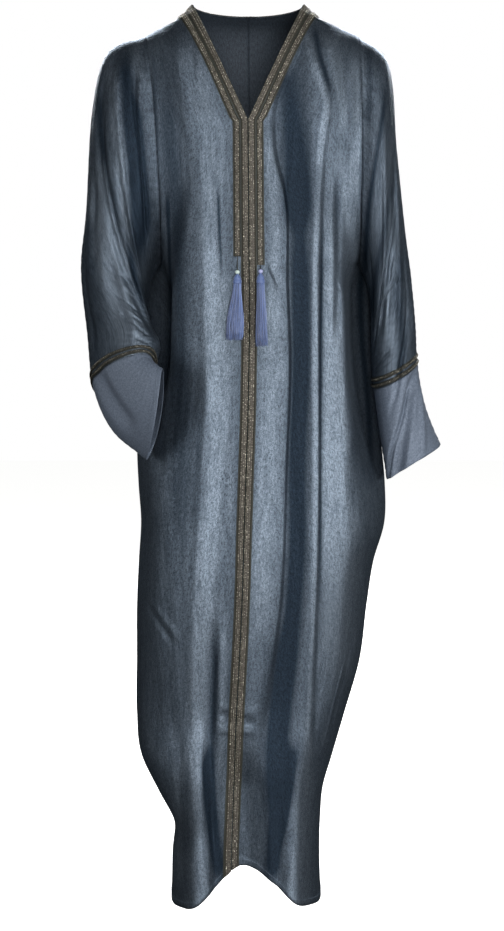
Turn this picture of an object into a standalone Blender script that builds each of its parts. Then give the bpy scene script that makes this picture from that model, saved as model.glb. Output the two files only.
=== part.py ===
"""A long V-neck abaya in its worn, hollow form. Metres, +Z up, the front faces -Y.

The origin is the middle of the neck opening, level with the two neck points of the shoulders.
"Right" and "left" are the wearer's: the right side lies at -X.
"""

import math
from collections import namedtuple

import bmesh
import bpy
import numpy as np
from mathutils import Vector
from mathutils.bvhtree import BVHTree

# Cloth and seams
CLOTH = 0.0015
SEAM = 0.0003
HEM_Z = -1.400
UNDERARM_Z = -0.395

# Neck
NECK_HALF = 0.084
V_DEPTH = 0.1785
V_FRONT = -0.118
BACK_NECK_Y = 0.052
BACK_NECK_DROP = 0.014
NECK_SHARE = 0.515
NECK_CURVE = 0.8
V_CURVE = 0.6

# Seams: a level strip beside the shoulder line, the gap at a sleeve's top, and the gap at a drawn-in side
RIDGE_STRIP = 0.007
STRIP_DROP = 0.0005
SHOULDER_CURVE = 1.6
SHOULDER_EASE = 0.0007
PINCH_EASE = 0.010

# Braid rows on the front, as distances from the neck edge or the centre seam
BRAID_THICK = 0.0012
BRAID_LIFT = 0.0004
BACK_BRAID_EASE = (0.0009, 0.0026)
BACK_BRAID_POINTS = 33
BACK_BRAID_LINES = 4
BACK_BRAID_END = 0.09
BRAID_COLUMNS = (0.0, 0.0016, 0.0104, 0.0136, 0.0224)
CUFF_BRAID_WIDTH = 0.007
CUFF_BRAID_PITCH = 0.010
CUFF_BRAID_MARGIN = 0.0015
TASSEL_ROW_END = {-1: -0.383, 1: -0.396}

# Grid sizes
LOWER_ROWS = 23
UPPER_ROWS = 10
SHOULDER_ROW = 0.965
FRONT_COLUMNS = 9
BACK_NECK_COLUMNS = 5
BACK_SHOULDER_COLUMNS = 4
RING_ROWS = 12
CUFF_ROWS = 4
SEAM_STATION = 0.1
SIDE_COLUMN = 0.95
CENTRE_COLUMN = 0.005

# How the rows turn from one form to the next, as shares of the way from side to side or from the
# underarm level to the shoulder.
PINCH_IN = (0.40, 0.76)
PINCH_OUT = (0.80, 0.94)
WRAP_END = 0.4
UPPER_SQUARE = 2.2
FRONT_FADE = (0.8, 1.0)
BACK_FADE = (0.7, 1.0)
LOWER_EDGE_FADE = 8
UPPER_EDGE_FADE = 6
BACK_EDGE_FADE = 10
FOLD_FADE = 0.2
SLEEVE_FOLD_FADE = 0.25

# The back between the shoulder blades: its depth, how much less at the sides, and its roundness
BLADE_Y = 0.108
BLADE_FALL = 0.012
BLADE_LEVEL = 0.3
BLADE_SQUARE = 2.6
BACK_EVEN_LEVEL = 0.5
BACK_RISE = 0.15

# Sections of the body below the armholes. The side seams lie behind the sleeves there, and each side
# is drawn in beside its sleeve by its pinch.
Section = namedtuple("Section", "z trim_x right_x right_pinch left_x left_pinch side_y front_y back_y square")
BODY = [
    Section(-0.395, 0.0015, -0.1350, 0.000, 0.1700, 0.000, 0.000, -0.132, 0.112, 2.2),
    Section(-0.430, 0.0020, -0.1580, 0.028, 0.1900, 0.022, 0.045, -0.132, 0.113, 2.2),
    Section(-0.470, 0.0020, -0.1640, 0.036, 0.1990, 0.028, 0.068, -0.133, 0.115, 2.2),
    Section(-0.500, 0.0020, -0.1660, 0.038, 0.2010, 0.030, 0.070, -0.133, 0.118, 2.2),
    Section(-0.560, 0.0010, -0.1680, 0.034, 0.2030, 0.029, 0.068, -0.137, 0.124, 2.3),
    Section(-0.620, 0.0000, -0.1720, 0.018, 0.2060, 0.024, 0.060, -0.141, 0.130, 2.4),
    Section(-0.680, -0.0020, -0.1760, 0.003, 0.2110, 0.015, 0.040, -0.144, 0.136, 2.4),
    Section(-0.740, -0.0040, -0.1730, 0.000, 0.2155, 0.003, 0.016, -0.146, 0.142, 2.4),
    Section(-0.800, -0.0060, -0.1690, 0.000, 0.2150, 0.000, 0.010, -0.148, 0.146, 2.4),
    Section(-0.860, -0.0075, -0.1727, 0.000, 0.1985, 0.000, 0.010, -0.149, 0.150, 2.4),
    Section(-0.930, -0.0100, -0.1763, 0.000, 0.1880, 0.000, 0.010, -0.148, 0.154, 2.4),
    Section(-1.020, -0.0145, -0.1770, 0.000, 0.1770, 0.000, 0.010, -0.146, 0.156, 2.4),
    Section(-1.100, -0.0185, -0.1775, 0.000, 0.1545, 0.000, 0.010, -0.143, 0.156, 2.5),
    Section(-1.170, -0.0210, -0.1700, 0.000, 0.1340, 0.000, 0.010, -0.141, 0.154, 2.7),
    Section(-1.220, -0.0230, -0.1450, 0.000, 0.1195, 0.000, 0.010, -0.140, 0.152, 2.9),
    Section(-1.270, -0.0245, -0.1190, 0.000, 0.1150, 0.000, 0.010, -0.140, 0.150, 3.1),
    Section(-1.330, -0.0260, -0.1210, 0.000, 0.1137, 0.000, 0.010, -0.141, 0.150, 3.2),
    Section(-1.400, -0.0265, -0.1225, 0.000, 0.1160, 0.000, 0.010, -0.142, 0.150, 3.2),
]

# The front hem is lifted in the middle: its height at each x.
HemPoint = namedtuple("HemPoint", "x z")
FRONT_HEM = [
    HemPoint(-0.1225, -1.398),
    HemPoint(-0.0810, -1.379),
    HemPoint(-0.0480, -1.350),
    HemPoint(-0.0260, -1.327),
    HemPoint(0.0120, -1.327),
    HemPoint(0.0400, -1.346),
    HemPoint(0.0750, -1.378),
    HemPoint(0.1160, -1.398),
]
HEM_LIFT_RANGE = 0.30

# Rings of each sleeve: the points of its outer, front, inner and back sides, from armhole to cuff hem.
Ring = namedtuple("Ring", "outer front inner back")
SLEEVE_ROWS = {
    -1: [
        ((-0.158, 0.01, -0.046), (-0.138, -0.098, -0.2), (-0.135, 0, -0.395), (-0.15, 0.095, -0.2)),
        ((-0.217, 0.012, -0.071), (-0.168, -0.112, -0.225), (-0.147, -0.002, -0.412), (-0.188, 0.102, -0.225)),
        ((-0.242, 0.014, -0.159), (-0.192, -0.104, -0.285), (-0.154, -0.006, -0.436), (-0.21, 0.1, -0.29)),
        ((-0.253, 0.018, -0.312), (-0.196, -0.092, -0.37), (-0.156, -0.012, -0.466), (-0.214, 0.088, -0.385)),
        ((-0.262, 0.018, -0.403), (-0.19, -0.094, -0.44), (-0.147, -0.034, -0.498), (-0.206, 0.064, -0.48)),
        ((-0.252, -0.002, -0.499), (-0.182, -0.114, -0.492), (-0.134, -0.078, -0.524), (-0.192, 0.014, -0.56)),
        ((-0.24, -0.03, -0.588), (-0.196, -0.126, -0.539), (-0.143, -0.118, -0.541), (-0.178, -0.034, -0.612)),
        ((-0.209, -0.07, -0.65), (-0.17, -0.165, -0.588), (-0.134, -0.15, -0.546), (-0.156, -0.06, -0.634)),
        ((-0.154, -0.112, -0.691), (-0.138, -0.196, -0.628), (-0.127, -0.172, -0.549), (-0.134, -0.1, -0.632)),
    ],
    1: [
        ((0.168, 0.01, -0.046), (0.172, -0.09, -0.2), (0.17, 0, -0.395), (0.165, 0.095, -0.2)),
        ((0.217, 0.01, -0.089), (0.193, -0.1, -0.222), (0.182, 0, -0.416), (0.197, 0.102, -0.222)),
        ((0.231, 0.01, -0.22), (0.206, -0.088, -0.31), (0.19, 0.001, -0.448), (0.214, 0.09, -0.31)),
        ((0.245, 0.01, -0.345), (0.213, -0.072, -0.405), (0.192, 0.003, -0.49), (0.224, 0.076, -0.41)),
        ((0.256, 0.008, -0.43), (0.219, -0.066, -0.46), (0.192, 0.002, -0.52), (0.227, 0.068, -0.462)),
        ((0.262, 0.004, -0.495), (0.225, -0.065, -0.52), (0.193, -0.003, -0.556), (0.23, 0.06, -0.52)),
        ((0.265, 0, -0.552), (0.23, -0.066, -0.574), (0.196, -0.01, -0.59), (0.233, 0.052, -0.572)),
        ((0.277, -0.008, -0.616), (0.241, -0.078, -0.636), (0.205, -0.026, -0.66), (0.246, 0.042, -0.632)),
        ((0.3, -0.02, -0.677), (0.254, -0.084, -0.7), (0.216, -0.038, -0.728), (0.264, 0.028, -0.69)),
    ],
}
SLEEVE_RINGS = {side: [Ring(*row) for row in rows] for side, rows in SLEEVE_ROWS.items()}
CUFF_RING = 6
LAST_RING = 8

# Folds of the fronts and the back: height out of the cloth at both ends, half width, and the path
# in x and z.
Fold = namedtuple("Fold", "top_height end_height half_width path")
FRONT_FOLDS = [
    Fold(0.004, 0.009, 0.024, ((-0.088, -0.09), (-0.066, -0.26), (-0.053, -0.60), (-0.075, -1.16))),
    Fold(-0.004, -0.005, 0.018, ((-0.108, -0.14), (-0.104, -0.36), (-0.102, -0.60))),
    Fold(-0.002, -0.008, 0.020, ((-0.112, -0.76), (-0.118, -0.96), (-0.112, -1.16))),
    Fold(0.006, 0.024, 0.030, ((-0.076, -1.06), (-0.080, -1.22), (-0.080, -1.50))),
    Fold(-0.003, -0.012, 0.015, ((-0.050, -0.98), (-0.048, -1.18), (-0.044, -1.50))),
    Fold(-0.010, -0.040, 0.044, ((-0.010, -1.10), (-0.006, -1.24), (-0.002, -1.60))),
    Fold(0.003, 0.004, 0.016, ((0.036, -0.20), (0.033, -0.52), (0.018, -0.84), (0.012, -1.02))),
    Fold(-0.005, -0.008, 0.015, ((0.068, -0.20), (0.072, -0.60), (0.070, -0.90), (0.052, -1.10))),
    Fold(0.006, 0.009, 0.015, ((0.106, -0.18), (0.101, -0.45), (0.103, -0.78), (0.094, -1.02), (0.084, -1.2))),
    Fold(0.006, 0.024, 0.030, ((0.086, -1.06), (0.076, -1.22), (0.074, -1.50))),
    Fold(0.005, 0.005, 0.022, ((0.134, -0.40), (0.136, -0.66), (0.132, -1.00))),
    Fold(0.004, 0.002, 0.012, ((0.082, -0.05), (0.116, -0.15), (0.104, -0.25))),
    Fold(0.005, 0.003, 0.015, ((0.146, -0.13), (0.147, -0.28), (0.146, -0.45))),
]
BACK_FOLDS = [
    Fold(0.004, 0.012, 0.026, ((-0.100, -0.16), (-0.084, -0.70), (-0.078, -1.50))),
    Fold(-0.003, -0.012, 0.020, ((-0.050, -0.26), (-0.046, -0.80), (-0.040, -1.50))),
    Fold(0.005, 0.014, 0.022, ((-0.012, -0.20), (-0.004, -0.76), (-0.002, -1.50))),
    Fold(-0.004, -0.014, 0.020, ((0.034, -0.30), (0.036, -0.84), (0.036, -1.50))),
    Fold(0.005, 0.014, 0.026, ((0.086, -0.18), (0.088, -0.74), (0.076, -1.50))),
    Fold(-0.004, -0.006, 0.020, ((0.128, -0.42), (0.136, -0.80), (0.120, -1.10))),
]

# Folds of the sleeves: height, half width in turns, and the path in turns and rings.
SleeveFold = namedtuple("SleeveFold", "height half_width path")
SLEEVE_FOLDS = {
    -1: [
        SleeveFold(0.007, 0.070, ((0.18, 0.8), (0.20, 2.2), (0.16, 3.6), (0.19, 5.0))),
        SleeveFold(-0.008, 0.055, ((0.08, 0.5), (0.12, 2.0), (0.27, 3.2), (0.36, 4.2), (0.42, 5.4))),
        SleeveFold(0.006, 0.060, ((0.30, 0.6), (0.32, 2.0), (0.40, 3.6))),
        SleeveFold(-0.006, 0.060, ((0.70, 1.0), (0.64, 3.0), (0.62, 5.0))),
        SleeveFold(0.006, 0.060, ((0.84, 0.8), (0.82, 3.0), (0.80, 5.4))),
        SleeveFold(-0.008, 0.060, ((0.12, 5.8), (0.14, 6.6), (0.16, 7.6))),
    ],
    1: [
        SleeveFold(0.005, 0.060, ((0.18, 0.8), (0.20, 2.4), (0.16, 3.8), (0.20, 5.2))),
        SleeveFold(-0.006, 0.055, ((0.10, 1.4), (0.14, 2.4), (0.28, 3.4), (0.34, 4.4))),
        SleeveFold(-0.005, 0.055, ((0.05, 2.8), (0.08, 4.2), (0.18, 5.4))),
        SleeveFold(0.006, 0.060, ((0.70, 0.8), (0.68, 3.0), (0.70, 5.2))),
        SleeveFold(-0.006, 0.060, ((0.84, 1.0), (0.82, 3.4), (0.84, 5.6))),
        SleeveFold(-0.012, 0.070, ((0.09, 5.9), (0.22, 6.8), (0.34, 7.8), (0.38, 8.4))),
    ],
}

# Tassels: heights of the cord's top, the bead and the skirt's ends, how many times as wide the skirt
# is at its ends, and its lean in x.
Tassel = namedtuple("Tassel", "top_z head_z end_z spread_x spread_y lean")
TASSELS = {
    -1: Tassel(-0.3835, -0.4030, -0.5080, 2.4, 1.25, -0.0050),
    1: Tassel(-0.3965, -0.4020, -0.5170, 1.5, 1.35, 0.0020),
}
STRAND_PITCH = 0.0017
STRAND_RADIUS = 0.00062
STRAND_CIRCLES = 3
STRAND_SIDES = 3
STRAND_SWING = 0.005
STRAND_PARTS = (0.0, 0.4, 1.0)
STRAND_TRIM = 0.05
ROOT_DEPTH = 0.017
HEAD_SIDES = 12
HEAD_RADIUS = STRAND_PITCH * STRAND_CIRCLES + 0.0014
HEAD_CLEAR = 0.0015
CORD_CLEAR = 0.0003
CORD_DRIFT = 0.012
CORD_RADIUS = 0.0008

# The bead and the bound head: radius, and drop below the bead's top
Turn = namedtuple("Turn", "radius drop")
HEAD_PROFILE = [
    Turn(0.0009, -0.0015),
    Turn(0.0034, 0.0),
    Turn(0.0036, 0.003),
    Turn(0.0020, 0.0055),
    Turn(HEAD_RADIUS * 0.80, 0.0075),
    Turn(HEAD_RADIUS, 0.011),
    Turn(HEAD_RADIUS * 0.92, 0.016),
    Turn(HEAD_RADIUS, 0.020),
]

# Levels above the underarm: 0 to 1, or the strip beside the shoulder line
UpperRow = namedtuple("UpperRow", "level strip")

Finish = namedtuple("Finish", "colour roughness metallic")
FINISHES = {
    "satin": Finish((0.085, 0.125, 0.180), 0.42, 0.35),
    "cuff": Finish((0.070, 0.090, 0.130), 0.80, 0.0),
    "braid": Finish((0.180, 0.140, 0.075), 0.45, 0.60),
    "tassel": Finish((0.100, 0.150, 0.420), 0.50, 0.0),
}


def smooth_curve(stations, values, at):
    """Values between stations by cubic steps whose slopes come from the neighbours on both sides."""
    stations = np.asarray(stations, float)
    values = np.asarray(values, float)
    if values.ndim == 1:
        return smooth_curve(stations, values[:, None], at)[..., 0]
    at = np.clip(np.asarray(at, float), stations[0], stations[-1])
    slopes = np.gradient(values, stations, axis=0)
    cell = np.clip(np.searchsorted(stations, at, side="right") - 1, 0, len(stations) - 2)
    width = (stations[cell + 1] - stations[cell])[..., None]
    t = (at - stations[cell])[..., None] / width
    start = (1 + 2 * t) * (1 - t) ** 2 * values[cell] + t * (1 - t) ** 2 * width * slopes[cell]
    end = t * t * (3 - 2 * t) * values[cell + 1] + t * t * (t - 1) * width * slopes[cell + 1]
    return start + end


def ease(t):
    t = np.clip(t, 0.0, 1.0)
    return t * t * (3 - 2 * t)


def ramp(t, span):
    """0 up to the start of the span, 1 from its end on, with no slope at either."""
    return ease((t - span[0]) / (span[1] - span[0]))


def bump(t):
    """A soft ridge: 1 at t = 0, and 0 with no slope from t = 1 on."""
    return np.where(np.abs(t) < 1, (1 - t * t) ** 2, 0.0)


def unit(vectors):
    return vectors / np.maximum(np.linalg.norm(vectors, axis=-1, keepdims=True), 1e-12)


def section_at(z):
    """All columns of the body's table at the heights z."""
    table = np.array(BODY[::-1])
    values = smooth_curve(table[:, 0], table[:, 1:], z)
    return Section(z, *(values[..., i] for i in range(values.shape[-1])))


def side_seam(section, side):
    """The x of a side seam, and how far that side is drawn in beside its sleeve."""
    if side < 0:
        return section.right_x, section.right_pinch
    return section.left_x, section.left_pinch


def fold_height(folds, x, z):
    """How far the folds lift the cloth at x and z."""
    total = np.zeros(np.broadcast(x, z).shape)
    for fold in folds:
        path = np.array(fold.path)
        along = (path[0, 1] - z) / (path[0, 1] - path[-1, 1])
        middle = smooth_curve(-path[:, 1], path[:, 0], -z)
        height = fold.top_height + (fold.end_height - fold.top_height) * np.clip(along, 0, 1)
        fade = ease(along / FOLD_FADE) * ease((1 - along) / FOLD_FADE)
        total = total + height * fade * bump((x - middle) / fold.half_width)
    return total


def hem_lift(x, z):
    """How far the front's arched hem raises a point near it."""
    hem = np.array(FRONT_HEM)
    near = np.clip(1 - (z - HEM_Z) / HEM_LIFT_RANGE, 0, 1) ** 2
    return (smooth_curve(hem[:, 0], hem[:, 1], x) - HEM_Z) * near


def ring_points(rings, turns, station):
    """Points on the closed curves through each ring's four points, at the given turns and station."""
    table = np.array(rings)
    outer, front, inner, back = (smooth_curve(range(len(rings)), table[:, i], station) for i in range(4))
    angle = 2 * math.pi * np.asarray(turns)[..., None]
    middle = (outer + front + inner + back) / 4
    oval = (outer + inner - front - back) / 4
    wave = (outer - inner) / 2 * np.cos(angle) + (front - back) / 2 * np.sin(angle)
    return middle + wave + oval * np.cos(2 * angle)


def shoulder_ridge(side, along):
    """The shoulder line, from the neck point to the top of the armhole."""
    top = np.array(SLEEVE_RINGS[side][0].outer)
    along = np.asarray(along, float)
    fall = 1 - (1 - along) ** SHOULDER_CURVE
    x = side * NECK_HALF + (top[0] - side * NECK_HALF) * along
    return np.stack([x, top[1] * along, top[2] * fall], axis=-1)


def upper_rows():
    """The rise from underarm to shoulder: even steps, then a narrow level strip beside the ridge."""
    levels = list(np.linspace(0, 1, UPPER_ROWS + 1)[:-1]) + [SHOULDER_ROW]
    return [UpperRow(level, False) for level in levels] + [UpperRow(1.0, True), UpperRow(1.0, False)]


def strip_offset(face):
    """From the shoulder line to the far side of the strip on the front (face -1) or the back (face 1)."""
    return np.array([0, face * RIDGE_STRIP, -STRIP_DROP])


def armhole_point(side, level, face):
    """The armhole's edge of the front (face -1) or the back (face 1)."""
    turn = (1 - level) / 2 if face < 0 else (1 + level) / 2
    point = ring_points(SLEEVE_RINGS[side], np.array([turn]), np.array([0.0]))[0]
    return point + np.array([0, face * SEAM / 2, 0])


def neck_edge(side, level):
    """The front's inner edge above the underarm: up the centre seam, then along the V."""
    if level <= 0.5:
        z = UNDERARM_Z + (UNDERARM_Z + V_DEPTH) * -2 * level
        section = section_at(z)
        y = section.front_y + (V_FRONT - section.front_y) * ease(2 * level)
        return np.array([section.trim_x * (1 - 2 * level) + side * SEAM / 2, y, z])
    climb = 2 * level - 1
    y = V_FRONT * math.cos(math.pi / 2 * climb) ** V_CURVE
    return np.array([side * (NECK_HALF * climb + SEAM / 2), y - SEAM / 2, -V_DEPTH * (1 - climb)])


def front_columns(width, slant):
    """Column places from 0 at the inner edge to 1: the braid's edges, then even steps."""
    braid = np.array(BRAID_COLUMNS) * slant / width
    rest = np.linspace(0, 1, FRONT_COLUMNS + 1)[1:]
    return braid, np.insert(rest, -1, SIDE_COLUMN)


def front_row(inner, outer, wrap, square, slant, pinch):
    """One row of a front: from its inner edge round to the side seam (wrap 1) or armhole (wrap 0)."""
    braid, rest = front_columns(abs(outer[0] - inner[0]), slant)
    spread = wrap * np.sin(np.pi / 2 * rest) + (1 - wrap) * rest
    q = np.concatenate([braid, braid[-1] + (1 - braid[-1]) * spread])
    round_part = (1 - q**square) ** (1 / square)
    flat_part = 1 - q * q
    share = wrap * round_part + (1 - wrap) * flat_part
    turn = np.concatenate([0 * braid, rest])
    drawn = pinch * wrap * ramp(turn, PINCH_IN) * (1 - ramp(turn, PINCH_OUT))
    x = inner[0] + (outer[0] - inner[0]) * q - np.sign(outer[0]) * drawn
    y = outer[1] + (inner[1] - outer[1]) * share
    z = inner[2] + (outer[2] - inner[2]) * (wrap * q**3 + (1 - wrap) * q)
    return np.stack([x, y, z], axis=-1), q


def front_grid(side):
    """Points of a front panel, a row for each height from hem to shoulder."""
    rows = []
    edge_fade = []
    for z in np.linspace(HEM_Z, UNDERARM_Z, LOWER_ROWS + 1)[:-1]:
        section = section_at(z)
        side_x, pinch = side_seam(section, side)
        inner = np.array([section.trim_x + side * SEAM / 2, section.front_y, z])
        outer = np.array([side_x, section.side_y - SEAM / 2 - pinch * PINCH_EASE, z])
        row, q = front_row(inner, outer, 1.0, section.square, 1.0, pinch)
        row[:, 2] += hem_lift(row[:, 0], z)
        rows.append(row)
        edge_fade.append(1 - q**LOWER_EDGE_FADE)
    for level, strip in upper_rows():
        slant = 1.0 if level <= 0.5 else math.hypot(1, NECK_HALF / V_DEPTH)
        if level == 1.0:
            row, q = ridge_row(side, strip, slant)
        else:
            inner = neck_edge(side, level)
            outer = armhole_point(side, level, -1)
            wrap = 1 - ease(level / WRAP_END)
            row, q = front_row(inner, outer, wrap, UPPER_SQUARE, slant, 0.0)
        rows.append(row)
        edge_fade.append((1 - q**UPPER_EDGE_FADE) * (1 - ramp(level, FRONT_FADE)))
    grid = np.array(rows)
    lift = fold_height(FRONT_FOLDS, grid[..., 0], grid[..., 2]) * np.array(edge_fade)
    grid[..., 1] -= lift
    return grid


def ridge_row(side, strip, slant):
    """The front's last two rows: the shoulder line, and the strip beside it."""
    top = np.array(SLEEVE_RINGS[side][0].outer)
    braid, rest = front_columns(abs(top[0]) - NECK_HALF, slant)
    q = np.concatenate([braid, braid[-1] + (1 - braid[-1]) * rest])
    row = shoulder_ridge(side, q)
    row[:, 0] += side * SEAM / 2 * (1 - q)
    row[:, 1] -= SEAM / 2
    if strip:
        row += strip_offset(-1)
    return row, q


def back_top(c):
    """The back's top row: one shoulder line, the back of the neck, and the other shoulder line."""
    side = np.where(c < 0, -1.0, 1.0)
    reach = np.abs(c)
    on_neck = reach < NECK_SHARE
    angle = np.pi / 2 * np.clip(reach / NECK_SHARE, 0, 1)
    neck_y = BACK_NECK_Y * np.cos(angle) ** NECK_CURVE
    neck = np.stack([side * NECK_HALF * np.sin(angle), neck_y, -BACK_NECK_DROP * np.cos(angle)], axis=-1)
    along = np.clip((reach - NECK_SHARE) / (1 - NECK_SHARE), 0, 1)
    ridges = {s: shoulder_ridge(s, along) for s in (-1, 1)}
    ridge = np.where((c < 0)[..., None], ridges[-1], ridges[1])
    point = np.where(on_neck[..., None], neck, ridge)
    return point + np.array([0, SEAM / 2, 0])


def back_row(z, c):
    """One row of the back below the armholes, from the right side seam to the left."""
    section = section_at(z)
    q = np.sin(np.pi / 2 * c)
    middle = (section.right_x + section.left_x) / 2
    half = (section.left_x - section.right_x) / 2
    side_y = section.side_y + SEAM / 2 + (section.right_pinch + section.left_pinch) / 2 * PINCH_EASE
    y = side_y + (section.back_y - side_y) * (1 - np.abs(q) ** section.square) ** (1 / section.square)
    return np.stack([middle + half * q, y, np.full_like(c, z)], axis=-1)


def back_upper_row(level, strip, c, foot):
    """One row of the back from the underarm level up."""
    top = back_top(c)
    edges = {s: armhole_point(s, level, 1) for s in (-1, 1)}
    if level == 1.0:
        row = top
    else:
        even = edges[-1][0] + (edges[1][0] - edges[-1][0]) * (c + 1) / 2
        x = foot[:, 0] + (even - foot[:, 0]) * ease(level / BACK_EVEN_LEVEL)
        x = x + (top[:, 0] - x) * ease(level)
        climb = level * (1 + BACK_RISE * (1 - level))
        z = foot[:, 2] + (top[:, 2] - foot[:, 2]) * climb
        full = foot[:, 1] + (BLADE_Y - BLADE_FALL * c**2 - foot[:, 1]) * ease(level / BLADE_LEVEL)
        y = top[:, 1] + (full - top[:, 1]) * (1 - level**BLADE_SQUARE) ** (1 / BLADE_SQUARE)
        row = np.stack([x, y, z], axis=-1)
    for s, end in ((-1, 0), (1, -1)):
        miss = edges[s] - row[end]
        row = row + np.where(np.sign(c) == s, np.abs(c) ** 4, 0.0)[:, None] * miss
    return row + strip_offset(1) * strip


def back_grid():
    """Points of the back, a row for each height from hem to shoulders and neck."""
    shoulder = np.linspace(NECK_SHARE, 1, BACK_SHOULDER_COLUMNS + 1)
    shoulder = np.insert(shoulder, -1, SIDE_COLUMN)
    neck = np.linspace(0, NECK_SHARE, BACK_NECK_COLUMNS + 1)
    half = np.concatenate([np.insert(neck, 1, CENTRE_COLUMN), shoulder[1:]])
    c = np.concatenate([-half[:0:-1], half])
    heights = np.linspace(HEM_Z, UNDERARM_Z, LOWER_ROWS + 1)
    rows = [back_row(z, c) for z in heights[:-1]]
    foot = back_row(UNDERARM_Z, c)
    fades = [1 - np.abs(c) ** BACK_EDGE_FADE] * LOWER_ROWS
    for level, strip in upper_rows():
        rows.append(back_upper_row(level, strip, c, foot))
        fades.append((1 - np.abs(c) ** UPPER_EDGE_FADE) * (1 - ramp(level, BACK_FADE)))
    grid = np.array(rows)
    grid[..., 1] += fold_height(BACK_FOLDS, grid[..., 0], grid[..., 2]) * np.array(fades)
    return grid


def back_half(grid, side):
    """One of the back's two panels, from its centre seam to its side."""
    middle = grid.shape[1] // 2
    if side < 0:
        half = grid[:, : middle + 1].copy()
        half[:, -1, 0] -= SEAM / 2
    else:
        half = grid[:, middle:].copy()
        half[:, 0, 0] += SEAM / 2
    return half


def sleeve_turns():
    """Turns round the sleeve that meet the rows of the front and the back at the armhole."""
    levels = np.array([row.level for row in upper_rows()[:-2]])
    front = (1 - levels[::-1]) / 2
    back = (1 + levels[1:]) / 2
    return np.concatenate([[0.0], front, back])


def sleeve_points(side, stations):
    """Rows of points round a sleeve at the given ring stations, with its folds."""
    rings = SLEEVE_RINGS[side]
    turns = sleeve_turns()
    rows = []
    for station in stations:
        here = np.full(turns.shape, station)
        points = ring_points(rings, turns, here)
        middle = points.mean(axis=0)
        lift = np.zeros(turns.shape)
        for fold in SLEEVE_FOLDS[side]:
            path = np.array(fold.path)
            along = (station - path[0, 1]) / (path[-1, 1] - path[0, 1])
            if not 0 < along < 1:
                continue
            turn = smooth_curve(path[:, 1], path[:, 0], np.array([station]))[0]
            away = (turns - turn + 0.5) % 1.0 - 0.5
            fade = ease(along / SLEEVE_FOLD_FADE) * ease((1 - along) / SLEEVE_FOLD_FADE)
            lift += fold.height * fade * bump(away / fold.half_width)
        rows.append(points + unit(points - middle) * lift[:, None])
    return np.array(rows)


def sleeve_grid(side):
    """Rows of a sleeve from just clear of the armhole to just short of the cuff."""
    stations = np.linspace(0, CUFF_RING, RING_ROWS + 1)
    stations = np.insert(stations, -1, CUFF_RING - SEAM_STATION)
    grid = sleeve_points(side, stations)
    top = np.clip(np.cos(2 * np.pi * sleeve_turns()), 0, 1)[:, None]
    grid[0] = grid[0] + unit(grid[1] - grid[0]) * (SEAM * 1.5 + SHOULDER_EASE * top)
    grid[-1] = grid[-1] - unit(grid[-1] - grid[-2]) * SEAM
    return grid


def cuff_grid(side):
    stations = np.linspace(CUFF_RING, LAST_RING, CUFF_ROWS + 1)
    stations = np.insert(stations, 1, CUFF_RING + SEAM_STATION)
    grid = sleeve_points(side, stations)
    grid[0] = grid[0] + unit(grid[1] - grid[0]) * SEAM / 2
    return grid


def collection(name):
    found = bpy.data.collections.new(name)
    bpy.context.scene.collection.children.link(found)
    return found


def material(name):
    made = bpy.data.materials.new(name)
    made.use_nodes = True
    shader = made.node_tree.nodes["Principled BSDF"]
    finish = FINISHES[name]
    shader.inputs["Base Color"].default_value = (*finish.colour, 1)
    shader.inputs["Roughness"].default_value = finish.roughness
    shader.inputs["Metallic"].default_value = finish.metallic
    return made


def add_mesh(name, verts, faces, slot, group):
    mesh = bpy.data.meshes.new(name)
    mesh.from_pydata([tuple(map(float, v)) for v in verts], [], faces)
    mesh.materials.append(slot)
    mesh.shade_smooth()
    mesh.set_sharp_from_angle(angle=math.radians(50))
    made = bpy.data.objects.new(name, mesh)
    group.objects.link(made)
    return made


def add_sheet(name, grid, closed, outward, thick, slot, group):
    """An open surface through the rows of points, thickened on its inner side."""
    rows, columns = grid.shape[:2]
    wrap = columns if closed else columns - 1
    faces = []
    for i in range(rows - 1):
        for j in range(wrap):
            k = (j + 1) % columns
            face = (i * columns + j, i * columns + k, (i + 1) * columns + k, (i + 1) * columns + j)
            faces.append(face if outward > 0 else face[::-1])
    made = add_mesh(name, grid.reshape(-1, 3), faces, slot, group)
    wall = made.modifiers.new("wall", "SOLIDIFY")
    wall.thickness = thick
    wall.offset = -1.0
    wall.use_even_offset = False
    wall.use_rim = True
    return made


def grid_normals(grid, closed, outward):
    """Directions straight out of the surface at each grid point."""
    if closed:
        across = np.roll(grid, -1, axis=1) - np.roll(grid, 1, axis=1)
    else:
        across = np.gradient(grid, axis=1)
    along = np.gradient(grid, axis=0)
    return unit(np.cross(across, along)) * outward


def walk(rows, distance):
    """For each column, the point at this distance along it from the first row."""
    found = rows[0].copy()
    left = np.full(rows.shape[1], distance)
    for start, end in zip(rows, rows[1:]):
        length = np.linalg.norm(end - start, axis=-1)
        share = np.clip(left / length, 0, 1)[:, None]
        found = found + (end - start) * share
        left = np.clip(left - length, 0, None)
    return found


def add_braid(name, grid, normals, outward, slot, group):
    """A flat braid on the points of the panel under it, moved out."""
    raised = grid + normals * (BRAID_LIFT + BRAID_THICK)
    return add_sheet(name, raised, False, outward, BRAID_THICK, slot, group)


def add_front_braids(side, grid, slot, group):
    """The inner row runs from shoulder to hem, the outer row from shoulder to the tassel."""
    word = "right" if side < 0 else "left"
    normals = grid_normals(grid, False, side)
    inner = slice(1, 3)
    outer = slice(3, 5)
    add_braid(f"braid_inner_{word}", grid[:, inner], normals[:, inner], side, slot, group)
    first = int(np.argmax(grid[:, 3, 2] > TASSEL_ROW_END[side]))
    rows = grid[first - 1 :, outer].copy()
    share = (TASSEL_ROW_END[side] - rows[0, :, 2]) / (rows[1, :, 2] - rows[0, :, 2])
    rows[0] = rows[0] + (rows[1] - rows[0]) * share[:, None]
    add_braid(f"braid_outer_{word}", rows, normals[first - 1 :, outer], side, slot, group)
    return rows[0].mean(axis=0)


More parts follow.
